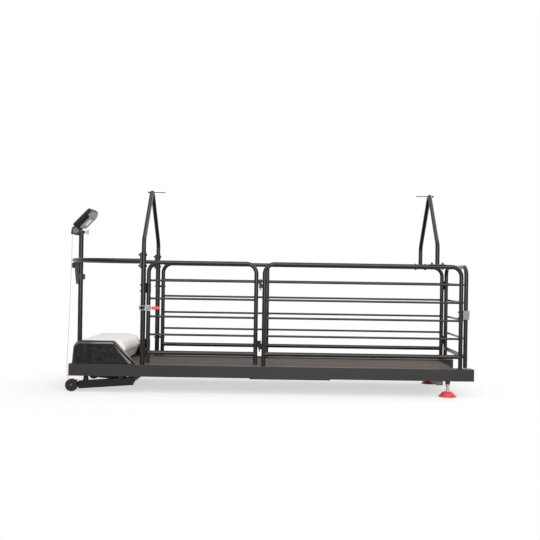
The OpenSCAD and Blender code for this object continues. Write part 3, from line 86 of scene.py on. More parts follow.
class Finish:
    """One finish of the treadmill: a Principled surface whose patterns lie on the piece's own coordinates."""

    def __init__(self, name, **fixed):
        self.material = bpy.data.materials.new(name)
        self.material.use_nodes = True
        self.tree = self.material.node_tree
        self.shader = self.tree.nodes["Principled BSDF"]
        for socket, value in fixed.items():
            self.shader.inputs[socket.replace("_", " ")].default_value = value
        self.place = self.add("ShaderNodeTexCoord", output="Object")

    def add(self, kind, settings=None, sockets=None, output=0):
        node = self.tree.nodes.new(kind)
        for name, value in (settings or {}).items():
            setattr(node, name, value)
        for name, value in (sockets or {}).items():
            self.feed(node.inputs[name], value)
        return Value(self, node.outputs[output])

    def feed(self, socket, value):
        if isinstance(value, Value):
            self.tree.links.new(value.socket, socket)
        else:
            socket.default_value = value

    def sum(self, operation, first, second):
        return self.add("ShaderNodeMath", {"operation": operation}, {0: first, 1: second})

    def axis(self, name):
        return self.add("ShaderNodeSeparateXYZ", None, {"Vector": self.place}, name)

    def facing(self, name):
        normal = self.add("ShaderNodeNewGeometry", output="Normal")
        return self.add("ShaderNodeSeparateXYZ", None, {"Vector": normal}, name)

    def upward(self):
        return self.facing("Z")

    def stretched(self, stretch):
        return self.add("ShaderNodeMapping", None, {"Vector": self.place, "Scale": stretch})

    def noise(self, scale, detail=2.0, stretch=None):
        place = self.stretched(stretch) if stretch else self.place
        return self.add("ShaderNodeTexNoise", None, {"Vector": place, "Scale": scale, "Detail": detail})

    def cells(self, scale, output="Distance"):
        return self.add("ShaderNodeTexVoronoi", None, {"Vector": self.place, "Scale": scale}, output)

    def waves(self, scale, direction, profile="SIN"):
        settings = {"wave_type": "BANDS", "bands_direction": direction, "wave_profile": profile}
        return self.add("ShaderNodeTexWave", settings, {"Vector": self.place, "Scale": scale}, 1)

    def ease(self, value, low, high):
        settings = {"interpolation_type": "SMOOTHSTEP"}
        return self.add("ShaderNodeMapRange", settings, {"Value": value, "From Min": low, "From Max": high})

    def blend(self, share, first, second):
        return self.add("ShaderNodeMix", {"data_type": "RGBA"}, {0: share, 6: first, 7: second}, 2)

    def look(self, colour, roughness, height=None):
        """Colour, roughness and a relief in metres."""
        self.feed(self.shader.inputs["Base Color"], colour)
        self.feed(self.shader.inputs["Roughness"], roughness)
        if height is not None:
            bump = self.add("ShaderNodeBump", None, {"Height": height, "Distance": 1.0}, "Normal")
            self.feed(self.shader.inputs["Normal"], bump)

    def dress(self, *names):
        for name in names:
            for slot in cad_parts[name].material_slots:
                slot.material = self.material


def shade(red, green, blue):
    """A colour read from a screen, as a shader wants it."""
    parts = [v / 255 for v in (red, green, blue)]
    return tuple(p / 12.92 if p < 0.0405 else ((p + 0.055) / 1.055) ** 2.4 for p in parts) + (1,)


rail_coat = Finish("rail_grey_coat", Specular_IOR_Level=0.2)
rail_cloud = rail_coat.noise(5, 3)
rail_peel = rail_coat.noise(620, 2)
# Paler on upward faces in patches: partly dust, partly a painted highlight on the rails' top faces.
rail_dust_and_sheen = rail_coat.ease(rail_coat.upward(), 0.75, 0.98) * rail_coat.ease(rail_coat.noise(9, 5), 0.2, 0.85)
rail_side = abs(rail_coat.axis("Y"))
rail_edge = rail_coat.sum("MINIMUM", abs(rail_side - rail_in_y), abs(rail_side - rail_out_y))
rail_edge = rail_coat.sum("MAXIMUM", rail_edge, abs(rail_coat.axis("Z") - rail_top))
rail_edge = 1 - rail_coat.ease(rail_edge, 0.0006, 0.0026)
# Paler along the long top edges in patches: partly rubbed wear, partly a painted highlight.
rail_rub_and_sheen = rail_edge * rail_coat.ease(rail_coat.noise(12, 6), 0.3, 0.8)
rail_grey = rail_coat.blend(rail_cloud, shade(33, 32, 30), shade(45, 43, 40))
rail_grey = rail_coat.blend(0.3 * rail_dust_and_sheen, rail_grey, shade(116, 112, 107))
rail_grey = rail_coat.blend(0.35 * rail_rub_and_sheen, rail_grey, shade(104, 101, 97))
rail_coat.look(rail_grey, 0.36 + 0.12 * rail_cloud + 0.2 * rail_dust_and_sheen, 0.00002 * rail_peel)
rail_coat.dress("rail_near", "rail_far", "cross_members", "front_beam")

cap_plastic = Finish("black_plastic_grain")
cap_grain = cap_plastic.noise(1500, 2)
cap_cloud = cap_plastic.noise(24, 3)
cap_plastic.look(cap_plastic.blend(cap_cloud, shade(26, 26, 27), shade(38, 38, 38)), 0.5 + 0.15 * cap_cloud,
                 0.00006 * cap_grain)
cap_plastic.dress("rail_end_caps", "power_inlet")


# Deck, rollers and running belt
# A coated board on the cross-members carries a woven rubber belt that runs round two turned steel rollers.
# The belt is embossed with a fine diamond grain, spliced on a slant, and worn paler along its middle.
deck_coat = Finish("deck_board_coat")
deck_grain = deck_coat.noise(40, 6, (1, 14, 14))
deck_coat.look(deck_coat.blend(deck_grain, shade(92, 66, 42), shade(150, 118, 84)), 0.4 + 0.2 * deck_grain,
               0.00012 * deck_grain)
deck_coat.dress("deck")

turned_steel = Finish("turned_steel", Metallic=1.0)
turned_rings = turned_steel.noise(300, 3, (0.2, 6, 0.2))
turned_steel.look(turned_steel.blend(turned_rings, shade(150, 150, 152), shade(196, 196, 198)),
                  0.24 + 0.2 * turned_rings, 0.00002 * turned_rings)
turned_steel.dress("roller_front", "roller_rear", "motor_pulley")

belt_face = Finish("running_belt_face", Specular_IOR_Level=0.3)
belt_lean = 0.7071
diamond_pitch = 260
full_circle = 6.283
belt_along = belt_face.axis("X")
belt_across = belt_face.axis("Y")
diamond_wave = diamond_pitch * full_circle * belt_lean
diamond_a = belt_face.sum("SINE", diamond_wave * (belt_along + belt_across), 0.0)
diamond_b = belt_face.sum("SINE", diamond_wave * (belt_along - belt_across), 0.0)
belt_diamonds = diamond_a * diamond_b
belt_fleck = belt_face.noise(260, 3)
belt_stain = belt_face.noise(3.2, 5, (0.35, 1, 1))
belt_wear = 1 - belt_face.ease(abs(belt_across), 0.08, 0.24)
belt_wear = belt_wear * belt_face.ease(belt_stain, 0.3, 0.7)
seam_x = 0.62
seam_slant = 0.35
belt_seam = 1 - belt_face.ease(abs(belt_along + seam_slant * belt_across - seam_x), 0.0008, 0.0022)
belt_edge = belt_face.ease(abs(belt_across), 0.262, 0.268)
belt_colour = belt_face.blend(belt_stain, shade(64, 57, 52), shade(88, 80, 73))
belt_colour = belt_face.blend(0.35 * belt_wear, belt_colour, shade(122, 113, 105))
belt_colour = belt_face.blend(0.4 * belt_fleck, belt_colour, shade(56, 51, 47))
belt_colour = belt_face.blend(0.6 * belt_seam, belt_colour, shade(40, 37, 35))
belt_colour = belt_face.blend(0.5 * belt_edge, belt_colour, shade(46, 44, 43))
belt_face.look(belt_colour, 0.7 + 0.15 * belt_fleck,
               0.00022 * belt_diamonds + 0.0001 * belt_fleck - 0.0004 * belt_seam)
belt_face.dress("running_belt")


# Motor, drive belt and control board
# The motor lies in a cradle on the front beam and turns the front roller through a ribbed belt. The board
# with its coils stands in front of it. All of it sits under the hood.
motor_coat = Finish("motor_grey_coat")
motor_peel = motor_coat.noise(420, 3)
motor_coat.look(motor_coat.blend(motor_coat.noise(18, 3), shade(70, 72, 75), shade(96, 98, 100)),
                0.45 + 0.1 * motor_peel, 0.0001 * motor_peel)
motor_coat.dress("motor")

drive_rubber = Finish("drive_belt_rubber")
drive_ribs = drive_rubber.waves(70, "Y")
drive_rubber.look(drive_rubber.blend(drive_rubber.noise(60, 3), shade(24, 24, 24), shade(44, 43, 42)),
                  0.62 + 0.1 * drive_ribs, 0.0006 * drive_ribs)
drive_rubber.dress("drive_belt")

board_lacquer = Finish("circuit_board_lacquer")
board_tracks = board_lacquer.ease(board_lacquer.cells(120), 0.25, 0.3)
board_lacquer.look(board_lacquer.blend(board_tracks, shade(26, 92, 58), shade(34, 122, 78)),
                   0.35 + 0.1 * board_tracks, 0.0001 * board_tracks)
board_lacquer.dress("control_board")


# Lift frame, wheels and actuator
# A welded frame that swings under the rails, pushed down by an electric actuator to raise the front. Its
# solid rubber wheels run on plain axles, each held by a nut.
lift_coat = Finish("lift_black_coat", Specular_IOR_Level=0.12)
lift_cloud = lift_coat.noise(9, 4)
lift_peel = lift_coat.noise(620, 2)
lift_coat.look(lift_coat.blend(lift_cloud, shade(20, 19, 18), shade(31, 30, 28)), 0.4 + 0.15 * lift_cloud,
               0.00002 * lift_peel)
lift_coat.dress("lift_frame", "actuator_body")

tyre_rubber = Finish("solid_tyre_rubber", Specular_IOR_Level=0.25)
tyre_scuff = tyre_rubber.ease(tyre_rubber.noise(48, 5), 0.45, 0.75)
tyre_rubber.look(tyre_rubber.blend(tyre_scuff, shade(24, 23, 23), shade(50, 48, 46)), 0.6 + 0.2 * tyre_scuff,
                 0.00015 * tyre_scuff)
tyre_rubber.dress("wheel_near", "wheel_far")

bright_zinc = Finish("bright_zinc", Metallic=1.0)
zinc_scratch = bright_zinc.noise(260, 4, (1, 1, 0.12))
bright_zinc.look(bright_zinc.blend(zinc_scratch, shade(110, 111, 114), shade(152, 152, 154)),
                 0.14 + 0.16 * zinc_scratch, 0.00001 * zinc_scratch)
bright_zinc.dress("actuator_rod", "hinge_pins", "latch_base", "latch_lever", "latch_loop")

dark_nut = Finish("oiled_steel_nut", Metallic=0.8)
nut_scuff = dark_nut.noise(140, 4)
dark_nut.look(dark_nut.blend(nut_scuff, shade(42, 41, 40), shade(78, 76, 74)), 0.34 + 0.2 * nut_scuff)


def deselect():
    bpy.ops.object.select_all(action="DESELECT")


def pick(rule, kind="faces"):
    """Selects the faces, edges or points that a rule takes, in edit mode."""
    mesh = bmesh.from_edit_mesh(bpy.context.object.data)
    for group in (mesh.faces, mesh.edges, mesh.verts):
        for item in group:
            item.select = False
    for item in getattr(mesh, kind):
        if rule(item):
            item.select_set(True)
    bmesh.update_edit_mesh(bpy.context.object.data)


def soften(rule, offset, segments=3):
    """Rounds the edges that a rule takes on the piece in hand."""
    bpy.ops.object.mode_set(mode="EDIT")
    pick(rule, "edges")
    bpy.ops.mesh.bevel(offset=offset, segments=segments)
    bpy.ops.object.mode_set(mode="OBJECT")


def recess(rule, rim, depth):
    """Insets the faces that a rule takes on the piece in hand and moves them out by a depth."""
    bpy.ops.object.mode_set(mode="EDIT")
    pick(rule)
    bpy.ops.mesh.inset(thickness=rim, depth=depth)
    bpy.ops.object.mode_set(mode="OBJECT")


def settle(piece, name, body, finish, smooth=35):
    """Puts a finished piece's place into its mesh, dresses it and lets it ride."""
    deselect()
    piece.select_set(True)
    bpy.context.view_layer.objects.active = piece
    bpy.ops.object.transform_apply(location=True, rotation=True, scale=True)
    bpy.ops.object.shade_smooth_by_angle(angle=math.radians(smooth))
    piece.name = name
    piece.data.name = name
    piece.data.materials.clear()
    piece.data.materials.append(finish.material)
    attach(piece, body)
    deselect()


def copies(master, places):
    """One object of many copies of a master, each at a place with a turn."""
    made = []
    for place, turn in places:
        copy = master.copy()
        copy.data = master.data.copy()
        copy.location = place
        copy.rotation_euler = turn
        bpy.context.collection.objects.link(copy)
        made.append(copy)
    deselect()
    for copy in made:
        copy.select_set(True)
    bpy.context.view_layer.objects.active = made[0]
    if len(made) > 1:
        bpy.ops.object.join()
    return bpy.context.view_layer.objects.active


wheel_x = -1.152
wheel_z = 0.037
axle_nut_d = 0.022
axle_nut_t = 0.006
axle_nut_gap = 0.0006
wide_face = 0.0001
for wheel, side in (("wheel_near", -1), ("wheel_far", 1)):
    low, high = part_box(wheel)
    face_y = low[1] if side < 0 else high[1]
    nut_y = face_y + side * (axle_nut_t / 2 + axle_nut_gap)
    deselect()
    bpy.ops.mesh.primitive_cylinder_add(vertices=6, radius=axle_nut_d / 2, depth=axle_nut_t,
                                        location=(wheel_x, nut_y, wheel_z), rotation=(math.radians(90), 0, 0))
    nut = bpy.context.object
    soften(lambda edge: all(abs(v.co.z) > axle_nut_t * 0.4 for v in edge.verts) and
           edge.verts[0].co.z * edge.verts[1].co.z > 0, 0.0012)
    recess(lambda item: abs(item.normal.z) > 0.9 and item.calc_area() > wide_face, 0.004, 0.001)
    settle(nut, wheel.replace("wheel", "axle_nut"), "lift", dark_nut)


# Hood
# Two glossy black side mouldings on the rails with a warm white cover between them. The gloss is slightly
# wavy, so reflections break up, and its clear coat is heaviest on the shoulders. The black is mottled paler
# in patches, partly smears and partly painted reflections. The cover has a fine peel and turns darker
# towards its foot, in patches.
hood_gloss = Finish("hood_black_gloss", Specular_IOR_Level=0.16, Coat_Roughness=0.08, Coat_IOR=1.8)
hood_wave = hood_gloss.noise(26, 3)
hood_smear_and_reflection = hood_gloss.ease(hood_gloss.noise(34, 6), 0.3, 0.85)
# The black is mottled paler in patches: partly smears, partly painted broken reflections.
hood_black = hood_gloss.blend(hood_smear_and_reflection, shade(7, 7, 9), shade(31, 31, 33))
hood_rim = hood_gloss.ease(hood_gloss.upward(), 0.1, 0.5)
hood_rim = hood_rim * (1 - hood_gloss.ease(hood_gloss.upward(), 0.6, 0.95))
hood_rim = hood_rim * (1 - 0.7 * hood_gloss.ease(hood_gloss.facing("X"), 0.15, 0.5))
hood_gloss.look(hood_black, 0.1 + 0.26 * hood_smear_and_reflection, 0.0011 * hood_wave)
hood_gloss.feed(hood_gloss.shader.inputs["Coat Weight"], 0.06 + 0.94 * hood_rim)
hood_gloss.dress("hood_side_near", "hood_side_far")

hood_cream = Finish("hood_white_gloss")
cream_peel = hood_cream.noise(380, 2)
cream_cloud = hood_cream.noise(4, 4)
# Darker and browner towards its foot, in patches.
cream_darker_low = (1 - hood_cream.ease(hood_cream.axis("Z"), 0.17, 0.235)) * cream_cloud
cream_tone = hood_cream.blend(cream_cloud, shade(226, 221, 214), shade(238, 234, 229))
cream_tone = hood_cream.blend(0.6 * cream_darker_low, cream_tone, shade(172, 163, 152))
hood_cream.look(cream_tone, 0.34 + 0.12 * cream_cloud, 0.00004 * cream_peel)
hood_cream.dress("hood_cover")


# Rear feet
# Red rubber cones that swivel on zinc-plated threaded spindles, screwed up into bosses on the rails. The bar
# across the rails beside them is open tube, closed at each end by a grey plug.
foot_rubber = Finish("foot_red_rubber")
foot_scuff = foot_rubber.ease(foot_rubber.noise(42, 5), 0.4, 0.8)
foot_rubber_tone = foot_rubber.blend(foot_scuff, shade(206, 44, 50), shade(226, 78, 80))
foot_rubber.look(foot_rubber_tone, 0.46 + 0.2 * foot_scuff, 0.00012 * foot_rubber.noise(700, 2))
foot_rubber.dress("foot_pad_near", "foot_pad_far")

thread_zinc = Finish("spindle_thread", Metallic=1.0)
thread_pitch = 0.0025
band_at_scale_one = 0.314
thread_turn = thread_zinc.waves(band_at_scale_one / thread_pitch, "Z", "TRI")
# The thread is coloured darker in its roots and paler on its crests: painted shade and painted highlight.
thread_zinc.look(thread_zinc.blend(thread_turn, shade(168, 168, 170), shade(232, 232, 234)),
                 0.22 + 0.12 * thread_turn, 0.0009 * thread_turn)
thread_zinc.dress("foot_spindle_near", "foot_spindle_far")

plug_grey = Finish("bar_plug_grey")
plug_cloud = plug_grey.noise(60, 3)
plug_grey.look(plug_grey.blend(plug_cloud, shade(62, 59, 56), shade(80, 77, 73)), 0.5 + 0.12 * plug_cloud)
rear_bar_x = 1.034
rear_bar_z = 0.082
rear_bar_end = 0.347
bar_plug_size = (0.0376, 0.003, 0.0256)
bar_plug_y = rear_bar_end + bar_plug_size[1] / 2
for side_name, side in (("near", -1), ("far", 1)):
    deselect()
    bpy.ops.mesh.primitive_cube_add(size=1, scale=bar_plug_size,
                                    location=(rear_bar_x, side * bar_plug_y, rear_bar_z))
    bar_plug = bpy.context.object
    bpy.ops.object.transform_apply(location=False, rotation=False, scale=True)
    soften(lambda edge: all(v.co.y * side > 0 for v in edge.verts), 0.0012)
    settle(bar_plug, "rear_bar_plug_" + side_name, "frame", plug_grey)


# Posts, panels and gates
# Round steel tube, bent, notched and welded, then powder coated near black. Each bar runs into its legs with
# a weld bead all round, the fixed legs are welded to the rails, and the gates' legs end in plastic plugs.
tube_coat = Finish("tube_black_coat", Specular_IOR_Level=0.32)
tube_cloud = tube_coat.noise(7, 4)
tube_peel = tube_coat.noise(560, 2)
tube_scuff = tube_coat.ease(tube_coat.noise(60, 5), 0.66, 0.78)
tube_black = tube_coat.blend(tube_cloud, shade(5, 5, 4), shade(11, 10, 9))
tube_coat.look(tube_coat.blend(0.35 * tube_scuff, tube_black, shade(98, 96, 94)),
               0.14 + 0.1 * tube_cloud + 0.14 * tube_scuff, 0.00001 * tube_peel)
tube_coat.dress("post_near", "post_far", "fence_near", "fence_far", "gate_near", "gate_rear",
                "arch_front", "arch_rear", "leash_rods", "arch_bolts", "small_bolts", "handle_loop", "mast")

plate_coat = Finish("plate_black_coat", Specular_IOR_Level=0.2)
plate_coat_cloud = plate_coat.noise(30, 4)
plate_coat.look(plate_coat.blend(plate_coat_cloud, shade(14, 14, 13), shade(24, 23, 22)),
                0.4 + 0.12 * plate_coat_cloud, 0.00001 * plate_coat.noise(560, 2))
plate_coat.dress("stop_plates")

tube_r = 0.0125
bar_r = 0.0065
post_r = 0.015
fence_y = 0.330
sill_z = 0.237
fence_top = 0.773
bar_count = 4
bar_step = (fence_top - sill_z) / (bar_count + 1)
bead_r = 0.0017
bead_points = 28
bead_ripples = 7
bead_ripple = 0.03
foot_bead_z = rail_top + 0.001
weld_smooth = 60


def weld_bead(name, pipe_r, leg_r=None):
    """A bead round a pipe that runs along +X out of an upright leg, or flat round a pipe without a leg."""
    route = []
    for i in range(bead_points):
        turn = 2 * math.pi * i / bead_points
        ripple = 1 + bead_ripple * math.sin(bead_ripples * turn)
        y = pipe_r * ripple * math.cos(turn)
        z = pipe_r * ripple * math.sin(turn)
        x = 0.0 if leg_r is None else math.sqrt(max(leg_r * leg_r - (pipe_r * math.cos(turn)) ** 2, 0))
        route.append((x, y, z))
    curve = bpy.data.curves.new(name, "CURVE")
    curve.dimensions = "3D"
    curve.bevel_depth = bead_r
    curve.bevel_resolution = 1
    line = curve.splines.new("POLY")
    line.points.add(len(route) - 1)
    for point, place in zip(line.points, route):
        point.co = (*place, 1)
    line.use_cyclic_u = True
    bead = bpy.data.objects.new(name, curve)
    bpy.context.collection.objects.link(bead)
    deselect()
    bead.select_set(True)
    bpy.context.view_layer.objects.active = bead
    bpy.ops.object.convert(target="MESH")
    return bpy.context.object


bar_bead = weld_bead("bar_bead", bar_r, tube_r)
sill_bead = weld_bead("sill_bead", tube_r, tube_r)
leg_bead = weld_bead("leg_bead", tube_r)
post_bead = weld_bead("post_bead", post_r)
half_turn = math.pi
quarter_turn = math.pi / 2
bar_heights = [sill_z + i * bar_step for i in range(1, bar_count + 1)]


def ladder_beads(ends, heights):
    """Places for the beads of one tube at each height: each end is a leg's place and the way out of it."""
    return [((x, y, z), (0, 0, turn)) for x, y, turn in ends for z in heights]


def weld_ladder(name, body, ends, feet=()):
    """All the beads of one welded panel or gate, as one piece."""
    parts = [copies(bar_bead, ladder_beads(ends, bar_heights))]
    parts.append(copies(sill_bead, ladder_beads(ends, [sill_z])))
    if feet:
        parts.append(copies(leg_bead, [((x, y, foot_bead_z), (0, quarter_turn, 0)) for x, y in feet]))
    deselect()
    for part in parts:
        part.select_set(True)
    bpy.context.view_layer.objects.active = parts[0]
    bpy.ops.object.join()
    settle(bpy.context.view_layer.objects.active, name, body, tube_coat, weld_smooth)


near_panel = (-0.014, 1.157)
near_gate = (-0.703, -0.063)
far_legs = (-0.699, -0.005, 1.157)
rear_gate_x = 1.186
weld_ladder("near_panel_welds", "frame", [(near_panel[0], -fence_y, 0), (near_panel[1], -fence_y, half_turn)],
            [(x, -fence_y) for x in near_panel])
weld_ladder("far_panel_welds", "frame",
            [(far_legs[0], fence_y, 0), (far_legs[1], fence_y, half_turn), (far_legs[1], fence_y, 0),
             (far_legs[2], fence_y, half_turn)], [(x, fence_y) for x in far_legs])
weld_ladder("near_gate_welds", "gate_near",
            [(near_gate[0], -fence_y, 0), (near_gate[1], -fence_y, half_turn)])
weld_ladder("rear_gate_welds", "gate_rear",
            [(rear_gate_x, -fence_y, quarter_turn), (rear_gate_x, fence_y, -quarter_turn)])
post_x = -0.735
post_feet = [((post_x, y, foot_bead_z), (0, quarter_turn, 0)) for y in (-fence_y, fence_y)]
settle(copies(post_bead, post_feet), "post_welds", "frame", tube_coat, weld_smooth)
for bead in (bar_bead, sill_bead, leg_bead, post_bead):
    bpy.data.objects.remove(bead)

plug_t = 0.004
plug_r = tube_r - 0.0003
gate_foot = 0.176
deselect()
bpy.ops.mesh.primitive_cylinder_add(vertices=32, radius=plug_r, depth=plug_t, location=(0, 0, 0))
plug = bpy.context.object
soften(lambda edge: all(v.co.z < -0.001 for v in edge.verts), 0.0014)
recess(lambda item: item.normal.z < -0.9 and item.calc_area() > wide_face, 0.003, -0.0012)
plug_z = gate_foot - plug_t / 2
gate_plugs = copies(plug, [((x, -fence_y, plug_z), (0, 0, 0)) for x in near_gate])
settle(gate_plugs, "near_gate_plugs", "gate_near", cap_plastic)
gate_plugs = copies(plug, [((rear_gate_x, y, plug_z), (0, 0, 0)) for y in (-fence_y, fence_y)])
settle(gate_plugs, "rear_gate_plugs", "gate_rear", cap_plastic)
bpy.data.objects.remove(plug)


# Latch grip and rear catch
# The latch lever ends in a grip dipped in red vinyl. The rear gate's leg is held in a bent channel of
# galvanised sheet, whose zinc shows its flower pattern.
vinyl_red = Finish("grip_red_vinyl", Coat_Weight=0.2)
vinyl_cloud = vinyl_red.noise(70, 4)
vinyl_red.look(vinyl_red.blend(vinyl_cloud, shade(214, 30, 32), shade(236, 62, 60)), 0.3 + 0.15 * vinyl_cloud,
               0.00015 * vinyl_cloud)
vinyl_red.dress("latch_grip")

zinc_sheet = Finish("galvanised_sheet", Metallic=0.85)
spangle = zinc_sheet.add("ShaderNodeSeparateColor", None, {"Color": zinc_sheet.cells(150, "Color")}, 0)
zinc_sheet.look(zinc_sheet.blend(spangle, shade(82, 83, 86), shade(123, 124, 126)), 0.34 + 0.2 * spangle,
                0.00003 * spangle)
zinc_sheet.dress("rear_catch")


# Mast bracket and clamp knob
# A glass-filled nylon moulding strapped to the mast holds the handle loop, and a scalloped knob clamps it.
# The console's neck is moulded in the same nylon.
bracket_nylon = Finish("bracket_nylon")
nylon_grain = bracket_nylon.noise(900, 3)
nylon_cloud = bracket_nylon.noise(30, 3)
bracket_nylon.look(bracket_nylon.blend(nylon_cloud, shade(24, 24, 25), shade(36, 36, 37)),
                   0.48 + 0.12 * nylon_grain, 0.00012 * nylon_grain)
bracket_nylon.dress("mast_bracket", "clamp_knob", "console_neck")


# Console
# A tilting head on a round neck: back cover, black front moulding, a dark screen and four rubber keys. The
# back cover is pale grey with dark sides and has a bare plate set into it. Grey caps cover the tilt pin's
# ends, and an off-white wing knob behind the neck locks the tilt.
neck = (-1.206, 0.0, 0.970)
head_slope = math.radians(46)
head_n = 0.010
bezel_t = 0.014
back_t = 0.026

back_grey = Finish("console_back_grey", Specular_IOR_Level=0.2)
back_grain = back_grey.noise(1300, 2)
back_cloud = back_grey.noise(20, 3)
back_x = back_grey.axis("X") - neck[0]
back_z = back_grey.axis("Z") - neck[2]
ear_square = 0.0009
ear_fade_square = 0.0012
back_ear = 1 - back_grey.ease(back_x * back_x + back_z * back_z, ear_square, ear_fade_square)
back_depth = math.cos(head_slope) * back_z - math.sin(head_slope) * back_x
back_along = math.cos(head_slope) * back_x + math.sin(head_slope) * back_z
pale_end_t = 0.013
pale_end_from = 0.123
pale_end_full = 0.136
back_depth = back_depth - pale_end_t * back_grey.ease(back_along, pale_end_from, pale_end_full)
side_fade = 0.003
back_side = back_grey.ease(back_depth, head_n - back_t, head_n - back_t + side_fade)
back_dark = back_grey.sum("MAXIMUM", back_ear, back_side)
back_tone = back_grey.blend(back_cloud, shade(134, 130, 127), shade(152, 148, 145))
back_tone = back_grey.blend(back_dark, back_tone, shade(20, 20, 21))
back_grey.look(back_tone, 0.46 + 0.1 * back_cloud, 0.00003 * back_grain)
back_grey.dress("console_back")

bezel_black = Finish("console_bezel_black", Specular_IOR_Level=0.2)
bezel_grain = bezel_black.noise(1300, 2)
bezel_cloud = bezel_black.noise(16, 3)
bezel_black_tone = bezel_black.blend(bezel_cloud, shade(17, 17, 18), shade(28, 28, 29))
bezel_black.look(bezel_black_tone, 0.36 + 0.12 * bezel_cloud, 0.00006 * bezel_grain)
bezel_black.dress("console_bezel")

screen_glass = Finish("console_screen_glass", Coat_Weight=1.0, Coat_Roughness=0.04)
screen_smear = screen_glass.ease(screen_glass.noise(34, 5), 0.4, 0.8)
screen_glass.look(screen_glass.blend(screen_smear, shade(14, 17, 20), shade(28, 32, 36)),
                  0.08 + 0.18 * screen_smear, 0.000005 * screen_smear)
screen_glass.dress("console_screen")

key_rubber = Finish("key_grey_rubber")
key_cloud = key_rubber.noise(90, 3)
key_rubber.look(key_rubber.blend(key_cloud, shade(78, 79, 82), shade(100, 101, 104)), 0.5 + 0.15 * key_cloud,
                0.00005 * key_rubber.noise(1400, 2))
key_rubber.dress("key_start", "key_stop", "key_faster", "key_slower")

knob_white = Finish("tilt_knob_white")
knob_cloud = knob_white.noise(50, 3)
knob_white_tone = knob_white.blend(knob_cloud, shade(164, 158, 156), shade(186, 181, 178))
knob_white.look(knob_white_tone, 0.4 + 0.12 * knob_cloud, 0.00005 * knob_white.noise(900, 2))
knob_white.dress("tilt_knob")

plate_size = (0.050, 0.080, 0.0016)
plate_u = 0.085
plate_sunk = 0.0002
plate_n = head_n - back_t - plate_size[2] / 2 + plate_sunk
deselect()
bpy.ops.mesh.primitive_cube_add(size=1, location=(plate_u, 0, plate_n), scale=plate_size)
back_plate = bpy.context.object
bpy.ops.object.transform_apply(location=True, rotation=False, scale=True)
soften(lambda edge: abs(edge.verts[0].co.z - edge.verts[1].co.z) > 0.001, 0.006, 6)
recess(lambda item: item.normal.z < -0.9, 0.003, -0.0005)
back_plate.location = neck
back_plate.rotation_euler = (0, -head_slope, 0)
plate_white = Finish("back_plate_white")
plate_cloud = plate_white.noise(50, 3)
plate_white.look(plate_white.blend(plate_cloud, shade(232, 230, 227), shade(244, 242, 240)),
                 0.4 + 0.12 * plate_cloud)
settle(back_plate, "console_back_plate", "console", plate_white)

ear_face = 0.0368
pin_cap_r = 0.019
pin_cap_t = 0.0018
pin_cap_grey = Finish("tilt_pin_cap_grey")
pin_cap_cloud = pin_cap_grey.noise(50, 3)
pin_cap_tone = pin_cap_grey.blend(pin_cap_cloud, shade(102, 100, 98), shade(118, 116, 113))
pin_cap_grey.look(pin_cap_tone, 0.45 + 0.12 * pin_cap_cloud)
for side_name, side in (("near", -1), ("far", 1)):
    deselect()
    bpy.ops.mesh.primitive_cylinder_add(vertices=48, radius=pin_cap_r, depth=pin_cap_t,
                                        location=(neck[0], side * (ear_face + pin_cap_t / 2), neck[2]),
                                        rotation=(side * -quarter_turn, 0, 0))
    pin_cap = bpy.context.object
    soften(lambda edge: all(v.co.z > 0 for v in edge.verts), 0.0009)
    settle(pin_cap, "tilt_pin_cap_" + side_name, "console", pin_cap_grey)

screen_sunk = 0.001
screen_front = head_n + bezel_t - screen_sunk
segment_l = 0.010
segment_w = 0.0022
segment_t = 0.0004
display_amber = Finish("display_amber", Emission_Strength=0.8)
amber_cloud = display_amber.noise(400, 2)
display_amber_tone = display_amber.blend(amber_cloud, shade(150, 74, 18), shade(196, 104, 30))
display_amber.look(display_amber_tone, 0.4 + 0.1 * amber_cloud)
display_amber.feed(display_amber.shader.inputs["Emission Color"],
                   display_amber.blend(amber_cloud, shade(190, 84, 16), shade(226, 112, 30)))
deselect()
bpy.ops.mesh.primitive_cube_add(size=1, location=(0, 0, 0), scale=(segment_l, segment_w, segment_t))
segment = bpy.context.object
bpy.ops.object.transform_apply(location=False, rotation=False, scale=True)
soften(lambda edge: abs(edge.verts[0].co.z - edge.verts[1].co.z) > segment_t / 2, segment_w * 0.42, 1)
segment_gap = 0.0012
step = segment_l + segment_gap
figure_u = 0.108
window_step = 0.066
figure_step = 0.019
figure_zero = [(step, 0, 90), (-step, 0, 90), (step / 2, step / 2, 0), (step / 2, -step / 2, 0),
               (-step / 2, step / 2, 0), (-step / 2, -step / 2, 0)]
segment_places = []
for window_y in (-window_step, 0.0, window_step):
    for figure_y in (-figure_step, 0.0, figure_step):
        for du, dy, turn in figure_zero:
            place = (figure_u + du, window_y + figure_y + dy, screen_front + segment_t / 2)
            segment_places.append((place, (0, 0, math.radians(turn))))
figures = copies(segment, segment_places)
bpy.data.objects.remove(segment)
deselect()
figures.select_set(True)
bpy.context.view_layer.objects.active = figures
bpy.ops.object.transform_apply(location=True, rotation=True, scale=True)
figures.location = neck
figures.rotation_euler = (0, -head_slope, 0)
settle(figures, "display_figures", "console", display_amber)

key_u = 0.040
key_stands = 0.003
key_face = head_n + bezel_t + key_stands
key_y = {"key_start": -0.078, "key_stop": -0.026, "key_faster": 0.026, "key_slower": 0.078}
sign_l = 0.009
sign_w = 0.0022
sign_r = 0.005
sign_t = 0.0006
sign_paint = Finish("key_sign_paint")
sign_cloud = sign_paint.noise(300, 2)
sign_paint_tone = sign_paint.blend(sign_cloud, shade(214, 214, 212), shade(232, 232, 230))
sign_paint.look(sign_paint_tone, 0.5 + 0.1 * sign_cloud)


